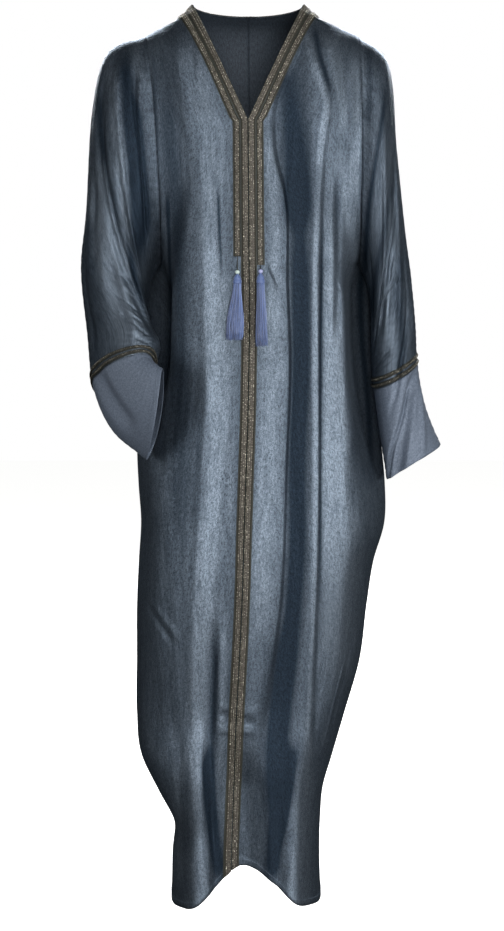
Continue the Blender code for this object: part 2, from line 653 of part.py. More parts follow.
def add_cuff_braids(side, slot, group):
    """Two rows just above the cuff seam, on the sleeve's last band of faces."""
    word = "right" if side < 0 else "left"
    grid = sleeve_grid(side)
    lifted = grid + grid_normals(grid, True, side) * (BRAID_LIFT * 2 + BRAID_THICK)
    rising = lifted[::-1]
    for number in range(2):
        foot = CUFF_BRAID_MARGIN + number * CUFF_BRAID_PITCH
        row = np.array([walk(rising, foot + CUFF_BRAID_WIDTH * part) for part in (1.0, 0.5, 0.0)])
        add_sheet(f"cuff_braid_{word}_{number + 1}", row, True, side, BRAID_THICK, slot, group)


def add_back_braids(panel_grid, slot, group):
    """Two rows round the back of the neck, laid on the back panel's own faces."""
    rows, columns = panel_grid.shape[:2]
    faces = []
    for i in range(rows - 1):
        for j in range(columns - 1):
            a = i * columns + j
            faces.append((a, a + 1, a + columns + 1, a + columns))
    points = [Vector(p) for p in panel_grid.reshape(-1, 3)]
    tree = BVHTree.FromPolygons(points, faces)
    reach = math.pi / 2 - BACK_BRAID_END
    angles = np.linspace(-reach, reach, BACK_BRAID_POINTS)
    for number, (near, far) in enumerate(((1, 2), (3, 4))):
        strip = []
        lift = BRAID_LIFT + BRAID_THICK + BACK_BRAID_EASE[number]
        for offset in np.linspace(BRAID_COLUMNS[near], BRAID_COLUMNS[far], BACK_BRAID_LINES):
            reach_x = NECK_HALF + offset
            reach_y = BACK_NECK_Y + offset
            line = []
            for angle in angles:
                plan_y = reach_y * math.cos(angle) ** NECK_CURVE
                start = Vector((reach_x * math.sin(angle), plan_y, 0.1))
                hit, normal, _, _ = tree.ray_cast(start, Vector((0, 0, -1)))
                normal = normal if normal.z > 0 else -normal
                line.append(hit + normal * lift)
            strip.append([tuple(p) for p in line])
        grid = np.array(strip)
        add_sheet(f"braid_back_{number + 1}", grid, False, 1, BRAID_THICK, slot, group)


def strand_places():
    """Hexagonal packing: one strand in the middle and circles of 6, 12 and 18 round it."""
    places = [(0.0, 0.0)]
    for layer in range(1, STRAND_CIRCLES + 1):
        for k in range(6 * layer):
            corner, part = divmod(k, layer)
            a = math.radians(60 * corner)
            b = math.radians(60 * (corner + 1))
            share = part / layer
            x = layer * (math.cos(a) * (1 - share) + math.cos(b) * share)
            y = layer * (math.sin(a) * (1 - share) + math.sin(b) * share)
            places.append((x * STRAND_PITCH, y * STRAND_PITCH))
    return places


def add_loft(name, bodies, group):
    """Closed bodies, each a list of rings of points joined in turn and closed at both ends."""
    shape = bmesh.new()
    for rings in bodies:
        loops = [[shape.verts.new(point) for point in ring] for ring in rings]
        for above, below in zip(loops, loops[1:]):
            for k in range(len(above)):
                n = (k + 1) % len(above)
                shape.faces.new((above[k], above[n], below[n], below[k]))
        shape.faces.new(loops[0][::-1])
        shape.faces.new(loops[-1])
    bmesh.ops.recalc_face_normals(shape, faces=shape.faces)
    mesh = bpy.data.meshes.new(name)
    shape.to_mesh(mesh)
    shape.free()
    made = bpy.data.objects.new(name, mesh)
    group.objects.link(made)
    return made


def circle(x, y, z, radius, sides, turn=0.0):
    """Points of a level ring."""
    angles = [2 * math.pi * k / sides + turn for k in range(sides)]
    return [(x + radius * math.cos(a), y - radius * math.sin(a), z) for a in angles]


def head_rings(spec, x, cord_y):
    """The cord from its seam, drifting forward to the bead, and the bound head below it."""
    profile = [(CORD_RADIUS, spec.top_z)] + [(turn.radius, spec.head_z - turn.drop) for turn in HEAD_PROFILE]
    rings = []
    for radius, z in profile:
        push = (HEAD_RADIUS + HEAD_CLEAR) * float(ease((spec.top_z - z) / CORD_DRIFT))
        rings.append(circle(x, cord_y - push, z, radius, HEAD_SIDES))
    return rings


def strand_rings(spec, x, y, number, place):
    """One strand of the skirt, from its root inside the head to its free end."""
    root_z = spec.head_z - ROOT_DEPTH
    trim = STRAND_TRIM * ((number * 7) % 5) / 4
    length = (root_z - spec.end_z) * (1 - trim)
    rings = []
    for part in STRAND_PARTS:
        grow = float(ease(part / 0.8))
        here_x = x + place[0] * (1 + (spec.spread_x - 1) * grow) + spec.lean * part
        here_y = y - STRAND_SWING * grow + place[1] * (1 + (spec.spread_y - 1) * grow)
        rings.append(circle(here_x, here_y, root_z - length * part, STRAND_RADIUS, STRAND_SIDES, 0.5))
    return rings


def add_tassel(side, seat, slot, group, cutters):
    """A cord, a bead, a bound head and the skirt's strands, all one piece."""
    word = "right" if side < 0 else "left"
    spec = TASSELS[side]
    cord_y = seat[1] - BRAID_LIFT - BRAID_THICK / 2 - CORD_CLEAR
    head = add_loft(f"tassel_{word}", [head_rings(spec, seat[0], cord_y)], group)
    head.data.materials.append(slot)
    middle_y = cord_y - HEAD_RADIUS - HEAD_CLEAR
    strands = [
        strand_rings(spec, seat[0], middle_y, number, place) for number, place in enumerate(strand_places())
    ]
    skirt = add_loft(f"skirt_{word}", strands, cutters)
    skirt.hide_render = True
    skirt.display_type = "WIRE"
    join = head.modifiers.new("skirt", "BOOLEAN")
    join.operation = "UNION"
    join.solver = "EXACT"
    join.object = skirt


def main():
    for old in list(bpy.data.objects):
        bpy.data.objects.remove(old, do_unlink=True)
    group = collection("abaya")
    cutters = collection("joined_shapes")
    slots = {name: material(name) for name in FINISHES}

    seats = {}
    for side, word in ((-1, "right"), (1, "left")):
        grid = front_grid(side)
        add_sheet(f"front_{word}", grid, False, side, CLOTH, slots["satin"], group)
        seats[side] = add_front_braids(side, grid, slots["braid"], group)
    back = back_grid()
    add_back_braids(back, slots["braid"], group)
    for side, word in ((-1, "right"), (1, "left")):
        add_sheet(f"back_{word}", back_half(back, side), False, -1, CLOTH, slots["satin"], group)
        add_sheet(f"sleeve_{word}", sleeve_grid(side), True, side, CLOTH, slots["satin"], group)
        add_sheet(f"cuff_{word}", cuff_grid(side), True, side, CLOTH, slots["cuff"], group)
        add_cuff_braids(side, slots["braid"], group)
        add_tassel(side, seats[side], slots["tassel"], group, cutters)


main()
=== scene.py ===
"""Looks of a long V-neck abaya in its worn, hollow form: cloth, braid, tassels, stitching and stage.

Metres, +Z up, the front faces -Y. "Right" and "left" are the wearer's: the right side lies at -X.
"""

import math
from collections import namedtuple

import bpy
import numpy as np
from bpy.props import FloatProperty, FloatVectorProperty, PointerProperty
from bpy.types import Operator, Panel, PropertyGroup
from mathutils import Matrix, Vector
from mathutils.bvhtree import BVHTree


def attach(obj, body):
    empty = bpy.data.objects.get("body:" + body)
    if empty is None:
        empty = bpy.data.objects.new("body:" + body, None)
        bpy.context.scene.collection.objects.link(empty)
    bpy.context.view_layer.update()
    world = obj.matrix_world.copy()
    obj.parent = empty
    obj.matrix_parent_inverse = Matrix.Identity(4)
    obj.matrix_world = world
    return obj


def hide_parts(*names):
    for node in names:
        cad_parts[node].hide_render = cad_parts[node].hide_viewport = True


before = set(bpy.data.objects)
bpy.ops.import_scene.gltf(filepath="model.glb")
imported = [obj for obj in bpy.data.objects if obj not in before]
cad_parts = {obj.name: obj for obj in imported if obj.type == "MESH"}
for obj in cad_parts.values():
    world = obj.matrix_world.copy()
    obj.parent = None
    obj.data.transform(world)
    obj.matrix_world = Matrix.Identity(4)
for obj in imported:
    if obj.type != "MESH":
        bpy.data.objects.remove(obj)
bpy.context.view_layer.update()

bl_info = {
    "name": "Worn abaya",
    "version": (1, 0, 0),
    "blender": (4, 5, 0),
    "location": "3D View > Sidebar > Abaya",
    "description": "Cloth, braid, tassels and stitching of a long V-neck abaya in its worn form",
    "category": "Object",
}

SIDES = ((-1, "right"), (1, "left"))


def named(kind, rows):
    """The rows of a table with their columns named."""
    return [kind(*row) for row in rows]


# Seams and edges of the garment
SEAM = 0.0003
HEM_Z = -1.400
UNDERARM_Z = -0.395
NECK_HALF = 0.084
V_DEPTH = 0.1785
V_FRONT = -0.118
BACK_NECK_Y = 0.052
BACK_NECK_DROP = 0.014
NECK_SHARE = 0.515
NECK_CURVE = 0.8
V_CURVE = 0.6
RIDGE_STRIP = 0.007
STRIP_DROP = 0.0005
RIDGE_PULL = 8
SHOULDER_CURVE = 1.6
PINCH_EASE = 0.010
SHOULDER_LEVEL = 0.965

# How the rows of the panels turn from one form to the next, as shares of a row or of the height
PINCH_IN = (0.40, 0.76)
PINCH_OUT = (0.80, 0.94)
WRAP_END = 0.4
UPPER_SQUARE = 2.2
FRONT_FADE = (0.8, 1.0)
BACK_FADE = (0.7, 1.0)
LOWER_EDGE_FADE = 8
UPPER_EDGE_FADE = 6
BACK_EDGE_FADE = 10
FOLD_FADE = 0.2
SLEEVE_FOLD_FADE = 0.25
BLADE_Y = 0.108
BLADE_FALL = 0.012
BLADE_LEVEL = 0.3
BLADE_SQUARE = 2.6
BACK_EVEN_LEVEL = 0.5
BACK_RISE = 0.15
BACK_SIDE_PULL = 4

# Sections of the body below the armholes: height, the x of the centre seam, the x of each side seam and
# how far that side is drawn in beside its sleeve, the y of the sides, front and back, and how square it is
SECTION_FIELDS = "z trim_x right_x right_pinch left_x left_pinch side_y front_y back_y square"
Section = namedtuple("Section", SECTION_FIELDS)
BODY = named(Section, [
    (-0.395, 0.0015, -0.135, 0, 0.17, 0, 0, -0.132, 0.112, 2.2),
    (-0.43, 0.002, -0.158, 0.028, 0.19, 0.022, 0.045, -0.132, 0.113, 2.2),
    (-0.47, 0.002, -0.164, 0.036, 0.199, 0.028, 0.068, -0.133, 0.115, 2.2),
    (-0.5, 0.002, -0.166, 0.038, 0.201, 0.03, 0.07, -0.133, 0.118, 2.2),
    (-0.56, 0.001, -0.168, 0.034, 0.203, 0.029, 0.068, -0.137, 0.124, 2.3),
    (-0.62, 0, -0.172, 0.018, 0.206, 0.024, 0.06, -0.141, 0.13, 2.4),
    (-0.68, -0.002, -0.176, 0.003, 0.211, 0.015, 0.04, -0.144, 0.136, 2.4),
    (-0.74, -0.004, -0.173, 0, 0.2155, 0.003, 0.016, -0.146, 0.142, 2.4),
    (-0.8, -0.006, -0.169, 0, 0.215, 0, 0.01, -0.148, 0.146, 2.4),
    (-0.86, -0.0075, -0.1727, 0, 0.1985, 0, 0.01, -0.149, 0.15, 2.4),
    (-0.93, -0.01, -0.1763, 0, 0.188, 0, 0.01, -0.148, 0.154, 2.4),
    (-1.02, -0.0145, -0.177, 0, 0.177, 0, 0.01, -0.146, 0.156, 2.4),
    (-1.1, -0.0185, -0.1775, 0, 0.1545, 0, 0.01, -0.143, 0.156, 2.5),
    (-1.17, -0.021, -0.17, 0, 0.134, 0, 0.01, -0.141, 0.154, 2.7),
    (-1.22, -0.023, -0.145, 0, 0.1195, 0, 0.01, -0.14, 0.152, 2.9),
    (-1.27, -0.0245, -0.119, 0, 0.115, 0, 0.01, -0.14, 0.15, 3.1),
    (-1.33, -0.026, -0.121, 0, 0.1137, 0, 0.01, -0.141, 0.15, 3.2),
    (-1.4, -0.0265, -0.1225, 0, 0.116, 0, 0.01, -0.142, 0.15, 3.2),
])

# The front hem is lifted in the middle: x and height along it
FRONT_HEM = [
    (-0.1225, -1.398),
    (-0.081, -1.379),
    (-0.048, -1.35),
    (-0.026, -1.327),
    (0.012, -1.327),
    (0.04, -1.346),
    (0.075, -1.378),
    (0.116, -1.398),
]
HEM_LIFT_RANGE = 0.30

# Rings of each sleeve: the points of its outer, front, inner and back sides, from armhole to cuff hem
Ring = namedtuple("Ring", "outer front inner back")
SLEEVE_ROWS = {
    -1: [
        ((-0.158, 0.01, -0.046), (-0.138, -0.098, -0.2), (-0.135, 0, -0.395), (-0.15, 0.095, -0.2)),
        ((-0.217, 0.012, -0.071), (-0.168, -0.112, -0.225), (-0.147, -0.002, -0.412),
         (-0.188, 0.102, -0.225)),
        ((-0.242, 0.014, -0.159), (-0.192, -0.104, -0.285), (-0.154, -0.006, -0.436), (-0.21, 0.1, -0.29)),
        ((-0.253, 0.018, -0.312), (-0.196, -0.092, -0.37), (-0.156, -0.012, -0.466), (-0.214, 0.088, -0.385)),
        ((-0.262, 0.018, -0.403), (-0.19, -0.094, -0.44), (-0.147, -0.034, -0.498), (-0.206, 0.064, -0.48)),
        ((-0.252, -0.002, -0.499), (-0.182, -0.114, -0.492), (-0.134, -0.078, -0.524),
         (-0.192, 0.014, -0.56)),
        ((-0.24, -0.03, -0.588), (-0.196, -0.126, -0.539), (-0.143, -0.118, -0.541),
         (-0.178, -0.034, -0.612)),
        ((-0.209, -0.07, -0.65), (-0.17, -0.165, -0.588), (-0.134, -0.15, -0.546), (-0.156, -0.06, -0.634)),
        ((-0.154, -0.112, -0.691), (-0.138, -0.196, -0.628), (-0.127, -0.172, -0.549),
         (-0.134, -0.1, -0.632)),
    ],
    1: [
        ((0.168, 0.01, -0.046), (0.172, -0.09, -0.2), (0.17, 0, -0.395), (0.165, 0.095, -0.2)),
        ((0.217, 0.01, -0.089), (0.193, -0.1, -0.222), (0.182, 0, -0.416), (0.197, 0.102, -0.222)),
        ((0.231, 0.01, -0.22), (0.206, -0.088, -0.31), (0.19, 0.001, -0.448), (0.214, 0.09, -0.31)),
        ((0.245, 0.01, -0.345), (0.213, -0.072, -0.405), (0.192, 0.003, -0.49), (0.224, 0.076, -0.41)),
        ((0.256, 0.008, -0.43), (0.219, -0.066, -0.46), (0.192, 0.002, -0.52), (0.227, 0.068, -0.462)),
        ((0.262, 0.004, -0.495), (0.225, -0.065, -0.52), (0.193, -0.003, -0.556), (0.23, 0.06, -0.52)),
        ((0.265, 0, -0.552), (0.23, -0.066, -0.574), (0.196, -0.01, -0.59), (0.233, 0.052, -0.572)),
        ((0.277, -0.008, -0.616), (0.241, -0.078, -0.636), (0.205, -0.026, -0.66), (0.246, 0.042, -0.632)),
        ((0.3, -0.02, -0.677), (0.254, -0.084, -0.7), (0.216, -0.038, -0.728), (0.264, 0.028, -0.69)),
    ],
}
SLEEVE_RINGS = {side: [Ring(*row) for row in rows] for side, rows in SLEEVE_ROWS.items()}
CUFF_RING = 6
LAST_RING = 8

# Folds of the fronts and the back: height out of the cloth at both ends, reach on the -X and the +X
# side of the crest, and the crest's path: its x at each z, from the top down
Fold = namedtuple("Fold", "top_height end_height low_reach high_reach x z")
FRONT_FOLDS = named(Fold, [
    (0.004, 0.009, 0.024, 0.024, (-0.088, -0.066, -0.053, -0.075), (-0.09, -0.26, -0.6, -1.16)),
    (-0.004, -0.005, 0.018, 0.018, (-0.108, -0.104, -0.102), (-0.14, -0.36, -0.6)),
    (-0.002, -0.008, 0.02, 0.02, (-0.112, -0.118, -0.112), (-0.76, -0.96, -1.16)),
    (0.006, 0.024, 0.03, 0.03, (-0.076, -0.08, -0.08), (-1.06, -1.22, -1.5)),
    (-0.003, -0.012, 0.015, 0.015, (-0.05, -0.048, -0.044), (-0.98, -1.18, -1.5)),
    (-0.01, -0.04, 0.044, 0.044, (-0.01, -0.006, -0.002), (-1.1, -1.24, -1.6)),
    (0.003, 0.004, 0.016, 0.016, (0.036, 0.033, 0.018, 0.012), (-0.2, -0.52, -0.84, -1.02)),
    (-0.005, -0.008, 0.015, 0.015, (0.068, 0.072, 0.07, 0.052), (-0.2, -0.6, -0.9, -1.1)),
    (0.006, 0.009, 0.015, 0.015, (0.106, 0.101, 0.103, 0.084), (-0.18, -0.45, -0.78, -1.2)),
    (0.006, 0.024, 0.03, 0.03, (0.086, 0.076, 0.074), (-1.06, -1.22, -1.5)),
    (0.005, 0.005, 0.022, 0.022, (0.134, 0.136, 0.132), (-0.4, -0.66, -1)),
    (0.004, 0.002, 0.012, 0.012, (0.082, 0.116, 0.104), (-0.05, -0.15, -0.25)),
    (0.005, 0.003, 0.015, 0.015, (0.146, 0.147, 0.146), (-0.13, -0.28, -0.45)),
])

# How the fronts turn to and from the viewer above the hem: at each height, places outward from the
# middle and how steeply the cloth falls back there. Level cloth takes the light, the rest lies in shade
Turn = namedtuple("Turn", "z places falls")
FRONT_TURNS = {
    -1: named(Turn, [
        (-0.075, (0.064, 0.068, 0.075, 0.08, 0.088, 0.105, 0.11, 0.14, 0.146, 0.16),
         (0.1, -0.05, 0.2, 0.25, -0.05, 0.05, 0.4, 0.4, -0.05, 0.1)),
        (-0.15, (0.036, 0.04, 0.05, 0.075, 0.09, 0.098, 0.104, 0.138, 0.146, 0.16),
         (0.1, 0, -0.05, -0.05, 0, 0.05, 0.45, 0.5, -0.05, 0.1)),
        (-0.24, (0.024, 0.028, 0.04, 0.06, 0.072, 0.08, 0.09, 0.125, 0.135, 0.15),
         (0.1, 0, -0.05, -0.02, 0.05, 0.3, 0.5, 0.5, 0.6, 0.8)),
        (-0.34, (0.02, 0.03, 0.036, 0.05, 0.068, 0.074, 0.09, 0.11, 0.125, 0.14),
         (0.2, 0.15, 0.05, -0.05, 0, 0.4, 0.5, 0.7, 0.9, 1.3)),
        (-0.455, (0.018, 0.026, 0.036, 0.05, 0.064, 0.069, 0.085, 0.105, 0.118, 0.13),
         (0.15, 0.14, 0.05, -0.05, 0, 0.5, 0.5, 0.8, 1.2, 1.6)),
        (-0.53, (0.013, 0.026, 0.034, 0.048, 0.061, 0.066, 0.085, 0.105, 0.12, 0.135),
         (0.12, 0.13, 0.05, -0.05, 0, 0.5, 0.45, 0.8, 1.1, 1.5)),
        (-0.7, (0.01, 0.026, 0.034, 0.052, 0.067, 0.073, 0.09, 0.11, 0.13, 0.15),
         (0.12, 0.13, 0.05, -0.05, 0, 0.45, 0.35, 0.6, 0.8, 1.1)),
        (-0.9, (0.006, 0.026, 0.044, 0.06, 0.078, 0.086, 0.1, 0.115, 0.135, 0.15),
         (0.15, 0.15, 0.05, -0.05, 0, 0.45, 0.4, 0.6, 0.8, 1.1)),
        (-1.1, (0.004, 0.03, 0.052, 0.066, 0.084, 0.092, 0.105, 0.12, 0.14, 0.15),
         (0.1, 0.35, 0.3, -0.1, 0, 0.5, 0.5, 0.8, 1.1, 1.5)),
    ]),
    1: named(Turn, [
        (-0.075, (0.064, 0.066, 0.074, 0.077, 0.08, 0.089, 0.092, 0.097, 0.102, 0.112, 0.122, 0.132),
         (0.1, 0.05, 0.05, 0.9, -0.15, -0.2, 0.05, 0.25, 0.7, -0.15, 0.1, 0.5)),
        (-0.15, (0.036, 0.038, 0.04, 0.044, 0.05, 0.094, 0.104, 0.12, 0.124, 0.132, 0.14, 0.15),
         (0.1, 0.3, 0.9, 0.9, -0.08, -0.18, 0, 0.2, 0.7, -0.05, 0.15, 0.5)),
        (-0.22, (0.026, 0.028, 0.034, 0.04, 0.046, 0.09, 0.098, 0.112, 0.116, 0.124, 0.14, 0.15),
         (0.1, 0.05, 0.3, 1.6, -0.05, -0.2, 0, 0.25, 0.8, 0.15, 0.25, 0.5)),
        (-0.29, (0.022, 0.028, 0.052, 0.055, 0.06, 0.092, 0.099, 0.107, 0.112, 0.118, 0.146, 0.155),
         (0.05, 0.05, 0.12, 2.2, -0.05, -0.22, 0, 0.25, 1.4, 0.15, 0.5, 0.8)),
        (-0.43, (0.02, 0.026, 0.056, 0.059, 0.064, 0.092, 0.096, 0.103, 0.108, 0.113, 0.145, 0.155),
         (0.05, 0.05, 0.15, 2.6, -0.05, -0.22, 0, 0.25, 2, 0.25, 0.6, 1.2)),
        (-0.53, (0.015, 0.02, 0.06, 0.063, 0.068, 0.091, 0.095, 0.104, 0.108, 0.112, 0.15, 0.16),
         (0.05, 0.05, 0.15, 2.6, -0.1, -0.25, 0, 0.25, 2, 0.25, 0.5, 1)),
        (-0.7, (0.012, 0.018, 0.055, 0.058, 0.063, 0.094, 0.098, 0.105, 0.108, 0.112, 0.14, 0.155),
         (0.05, 0.05, 0.15, 1.8, -0.15, -0.25, 0, 0.25, 1.6, 0.2, 0.4, 0.7)),
        (-0.9, (0.008, 0.014, 0.046, 0.05, 0.056, 0.088, 0.093, 0.101, 0.105, 0.11, 0.14, 0.155),
         (0.05, 0.05, 0.15, 1.6, -0.08, -0.18, 0.05, 0.3, 1.6, 0.2, 0.45, 0.8)),
        (-1.1, (0.004, 0.008, 0.016, 0.024, 0.034, 0.07, 0.08, 0.092, 0.098, 0.106, 0.13, 0.145),
         (0.1, 0.2, 0.6, 0.8, 0, -0.1, 0.2, 0.4, 1.2, 0.4, 0.7, 1.2)),
    ]),
}
TURN_RANGE = (-1.2, -1.06)
TURN_FADE = (0.5, 0.82)

# Finer folds of the fronts, on top of the main ones
FRONT_DETAIL = named(Fold, [
    (-0.004, -0.004, 0.018, 0.018, (-0.141, -0.14, -0.139), (-0.6, -0.66, -0.72)),
    (-0.005, -0.006, 0.014, 0.01, (-0.053, -0.056, -0.06, -0.05), (-0.92, -1.055, -1.21, -1.33)),
    (0.003, 0.004, 0.01, 0.01, (-0.038, -0.041, -0.04), (-0.92, -1.13, -1.32)),
    (-0.003, -0.004, 0.008, 0.008, (0.134, 0.136, 0.135), (-0.24, -0.4, -0.52)),
    (0.004, 0.003, 0.008, 0.01, (0.156, 0.156, 0.154), (-0.1, -0.2, -0.3)),
])

# Short creases: height, half width, and both ends in x and z
Crease = namedtuple("Crease", "height half_width start end")
FRONT_CREASES = named(Crease, [
    (-0.003, 0.006, (-0.166, -0.905), (-0.108, -0.98)),
    (0.002, 0.006, (-0.16, -0.9), (-0.1, -0.97)),
    (-0.0045, 0.005, (0.166, -0.955), (0.124, -1.12)),
    (-0.004, 0.005, (0.16, -1), (0.112, -1.165)),
    (0.0035, 0.0055, (0.16, -0.972), (0.12, -1.13)),
    (0.003, 0.0055, (0.15, -1.03), (0.11, -1.17)),
    (-0.0035, 0.003, (0.024, -0.392), (0.046, -0.438)),
    (0.002, 0.004, (0.028, -0.39), (0.05, -0.436)),
])

# The tuck across the trim above the split, which crosses the braid
TUCK_CREASES = named(Crease, [
    (-0.0035, 0.004, (-0.05, -1.08), (0.016, -1.094)),
    (0.0025, 0.006, (-0.056, -1.104), (0.02, -1.106)),
    (0.002, 0.006, (-0.05, -1.066), (0.02, -1.078)),
])

# Folds and creases of the back
BACK_FOLDS = named(Fold, [
    (0.004, 0.012, 0.026, 0.026, (-0.1, -0.084, -0.078), (-0.16, -0.7, -1.5)),
    (-0.003, -0.012, 0.02, 0.02, (-0.05, -0.046, -0.04), (-0.26, -0.8, -1.5)),
    (0.005, 0.014, 0.022, 0.022, (-0.012, -0.004, -0.002), (-0.2, -0.76, -1.5)),
    (-0.004, -0.014, 0.02, 0.02, (0.034, 0.036, 0.036), (-0.3, -0.84, -1.5)),
    (0.005, 0.014, 0.026, 0.026, (0.086, 0.088, 0.076), (-0.18, -0.74, -1.5)),
    (-0.004, -0.006, 0.02, 0.02, (0.128, 0.136, 0.12), (-0.42, -0.8, -1.1)),
])
BACK_DETAIL = named(Fold, [
    (0.003, 0.005, 0.008, 0.012, (-0.118, -0.104, -0.098), (-0.2, -0.6, -1.1)),
    (-0.003, -0.006, 0.014, 0.008, (-0.066, -0.062, -0.058), (-0.18, -0.7, -1.3)),
    (0.004, 0.006, 0.01, 0.007, (-0.028, -0.022, -0.02), (-0.14, -0.6, -1.2)),
    (-0.003, -0.006, 0.008, 0.014, (0.014, 0.016, 0.018), (-0.16, -0.7, -1.35)),
    (0.004, 0.005, 0.007, 0.01, (0.056, 0.058, 0.056), (-0.12, -0.6, -1.1)),
    (-0.004, -0.006, 0.012, 0.008, (0.106, 0.11, 0.104), (-0.26, -0.7, -1.2)),
    (-0.004, -0.006, 0.014, 0.014, (-0.136, -0.134, -0.13), (-0.5, -0.8, -1.15)),
])
BACK_CREASES = named(Crease, [
    (-0.003, 0.008, (-0.12, -0.12), (-0.06, -0.26)),
    (0.003, 0.008, (-0.112, -0.105), (-0.05, -0.235)),
    (-0.003, 0.008, (0.122, -0.13), (0.066, -0.27)),
    (0.003, 0.008, (0.116, -0.112), (0.056, -0.245)),
    (-0.003, 0.007, (-0.15, -0.56), (-0.08, -0.64)),
    (-0.003, 0.007, (0.17, -0.6), (0.1, -0.68)),
])

# Folds of the sleeves: height, half width in turns, and the path: its turn round the sleeve at each ring
SleeveFold = namedtuple("SleeveFold", "height half_width turns rings")
SLEEVE_FOLDS = {
    -1: named(SleeveFold, [
        (0.007, 0.07, (0.18, 0.2, 0.16, 0.19), (0.8, 2.2, 3.6, 5)),
        (0.004, 0.045, (0.48, 0.48, 0.48), (0.1, 1.3, 2.8)),
        (-0.008, 0.055, (0.08, 0.12, 0.27, 0.36, 0.42), (0.5, 2, 3.2, 4.2, 5.4)),
        (0.006, 0.06, (0.3, 0.32, 0.4), (0.6, 2, 3.6)),
        (-0.006, 0.06, (0.7, 0.64, 0.62), (1, 3, 5)),
        (0.006, 0.06, (0.84, 0.82, 0.8), (0.8, 3, 5.4)),
        (-0.008, 0.06, (0.12, 0.14, 0.16), (5.8, 6.6, 7.6)),
        (0.008, 0.09, (0.09, 0.11, 0.13), (2.4, 3.6, 5.4)),
    ]),
    1: named(SleeveFold, [
        (0.004, 0.045, (0.48, 0.48, 0.48), (0.1, 1.3, 2.8)),
        (0.005, 0.06, (0.18, 0.2, 0.16, 0.2), (0.8, 2.4, 3.8, 5.2)),
        (-0.006, 0.055, (0.1, 0.14, 0.28, 0.34), (1.4, 2.4, 3.4, 4.4)),
        (-0.005, 0.055, (0.05, 0.08, 0.18), (2.8, 4.2, 5.4)),
        (0.006, 0.06, (0.7, 0.68, 0.7), (0.8, 3, 5.2)),
        (-0.006, 0.06, (0.84, 0.82, 0.84), (1, 3.4, 5.6)),
        (-0.012, 0.07, (0.09, 0.22, 0.34, 0.38), (5.9, 6.8, 7.8, 8.4)),
    ]),
}

# Finer folds of the sleeves
SLEEVE_DETAIL = {
    -1: named(SleeveFold, [
        (-0.006, 0.03, (0.04, 0.1, 0.19, 0.29, 0.4, 0.43), (0.9, 1.7, 2.3, 2.9, 3.7, 5)),
        (0.006, 0.04, (0.09, 0.15, 0.23, 0.34, 0.42), (0.6, 1.2, 1.6, 2.25, 2.9)),
        (0.004, 0.018, (0.08, 0.12, 0.2, 0.26), (1.3, 1.9, 2.5, 3)),
        (-0.006, 0.03, (0.12, 0.2, 0.29, 0.37), (0.3, 0.7, 0.95, 1.5)),
        (-0.005, 0.03, (0.1, 0.13, 0.15), (2.4, 3.2, 4.3)),
        (0.004, 0.035, (0.24, 0.27, 0.28), (3.4, 4.4, 5.5)),
        (-0.004, 0.03, (0.06, 0.07, 0.1), (3.4, 4.4, 5.6)),
        (0.004, 0.03, (0.92, 0.94, 0.95), (1, 2.6, 4.6)),
    ]),
    1: named(SleeveFold, [
        (0.006, 0.04, (0.18, 0.22, 0.27, 0.28, 0.32), (0.9, 1.6, 2.7, 3.8, 5)),
        (0.005, 0.028, (0.08, 0.12, 0.19, 0.24), (1.8, 2.6, 4, 5.2)),
        (-0.006, 0.03, (0.08, 0.15, 0.25, 0.33, 0.43), (1.6, 2.4, 2.75, 3.3, 4.6)),
        (-0.007, 0.035, (0.05, 0.08, 0.12, 0.19, 0.28, 0.37), (2.5, 3.3, 4.4, 5.3, 6.3, 6.9)),
        (-0.008, 0.03, (0.11, 0.2, 0.28, 0.38, 0.46), (6, 6.5, 6.95, 7.5, 8.2)),
        (0.005, 0.04, (0.06, 0.13, 0.22), (6.3, 7.2, 8.2)),
        (-0.005, 0.03, (0.4, 0.42, 0.44), (0.8, 2.4, 4.2)),
        (0.004, 0.03, (0.92, 0.94, 0.95), (1, 2.6, 4.6)),
    ]),
}

# Short creases of the sleeves, both ends in turns and rings
SLEEVE_CREASES = {
    -1: named(Crease, [
        (-0.0035, 0.006, (0.18, 3.7), (0.33, 3.4)),
        (0.003, 0.008, (0.18, 3.9), (0.34, 3.65)),
        (-0.0035, 0.006, (0.2, 4.15), (0.34, 4.15)),
        (0.003, 0.007, (0.21, 4.35), (0.35, 4.5)),
        (-0.0035, 0.006, (0.21, 4.55), (0.37, 5.1)),
        (-0.0025, 0.006, (0.24, 5.1), (0.4, 5.45)),
    ]),
    1: named(Crease, [
        (-0.003, 0.006, (0.24, 5.05), (0.44, 5.15)),
        (0.002, 0.006, (0.22, 5.25), (0.42, 5.35)),
        (-0.0025, 0.006, (0.16, 3.6), (0.3, 3.4)),
    ]),
}

# A sleeve's width round and its length from ring to ring, about, for creases and crinkles in metres
SLEEVE_ROUND = 0.42
RING_STEP = 0.085
CREASE_FADE = 0.3

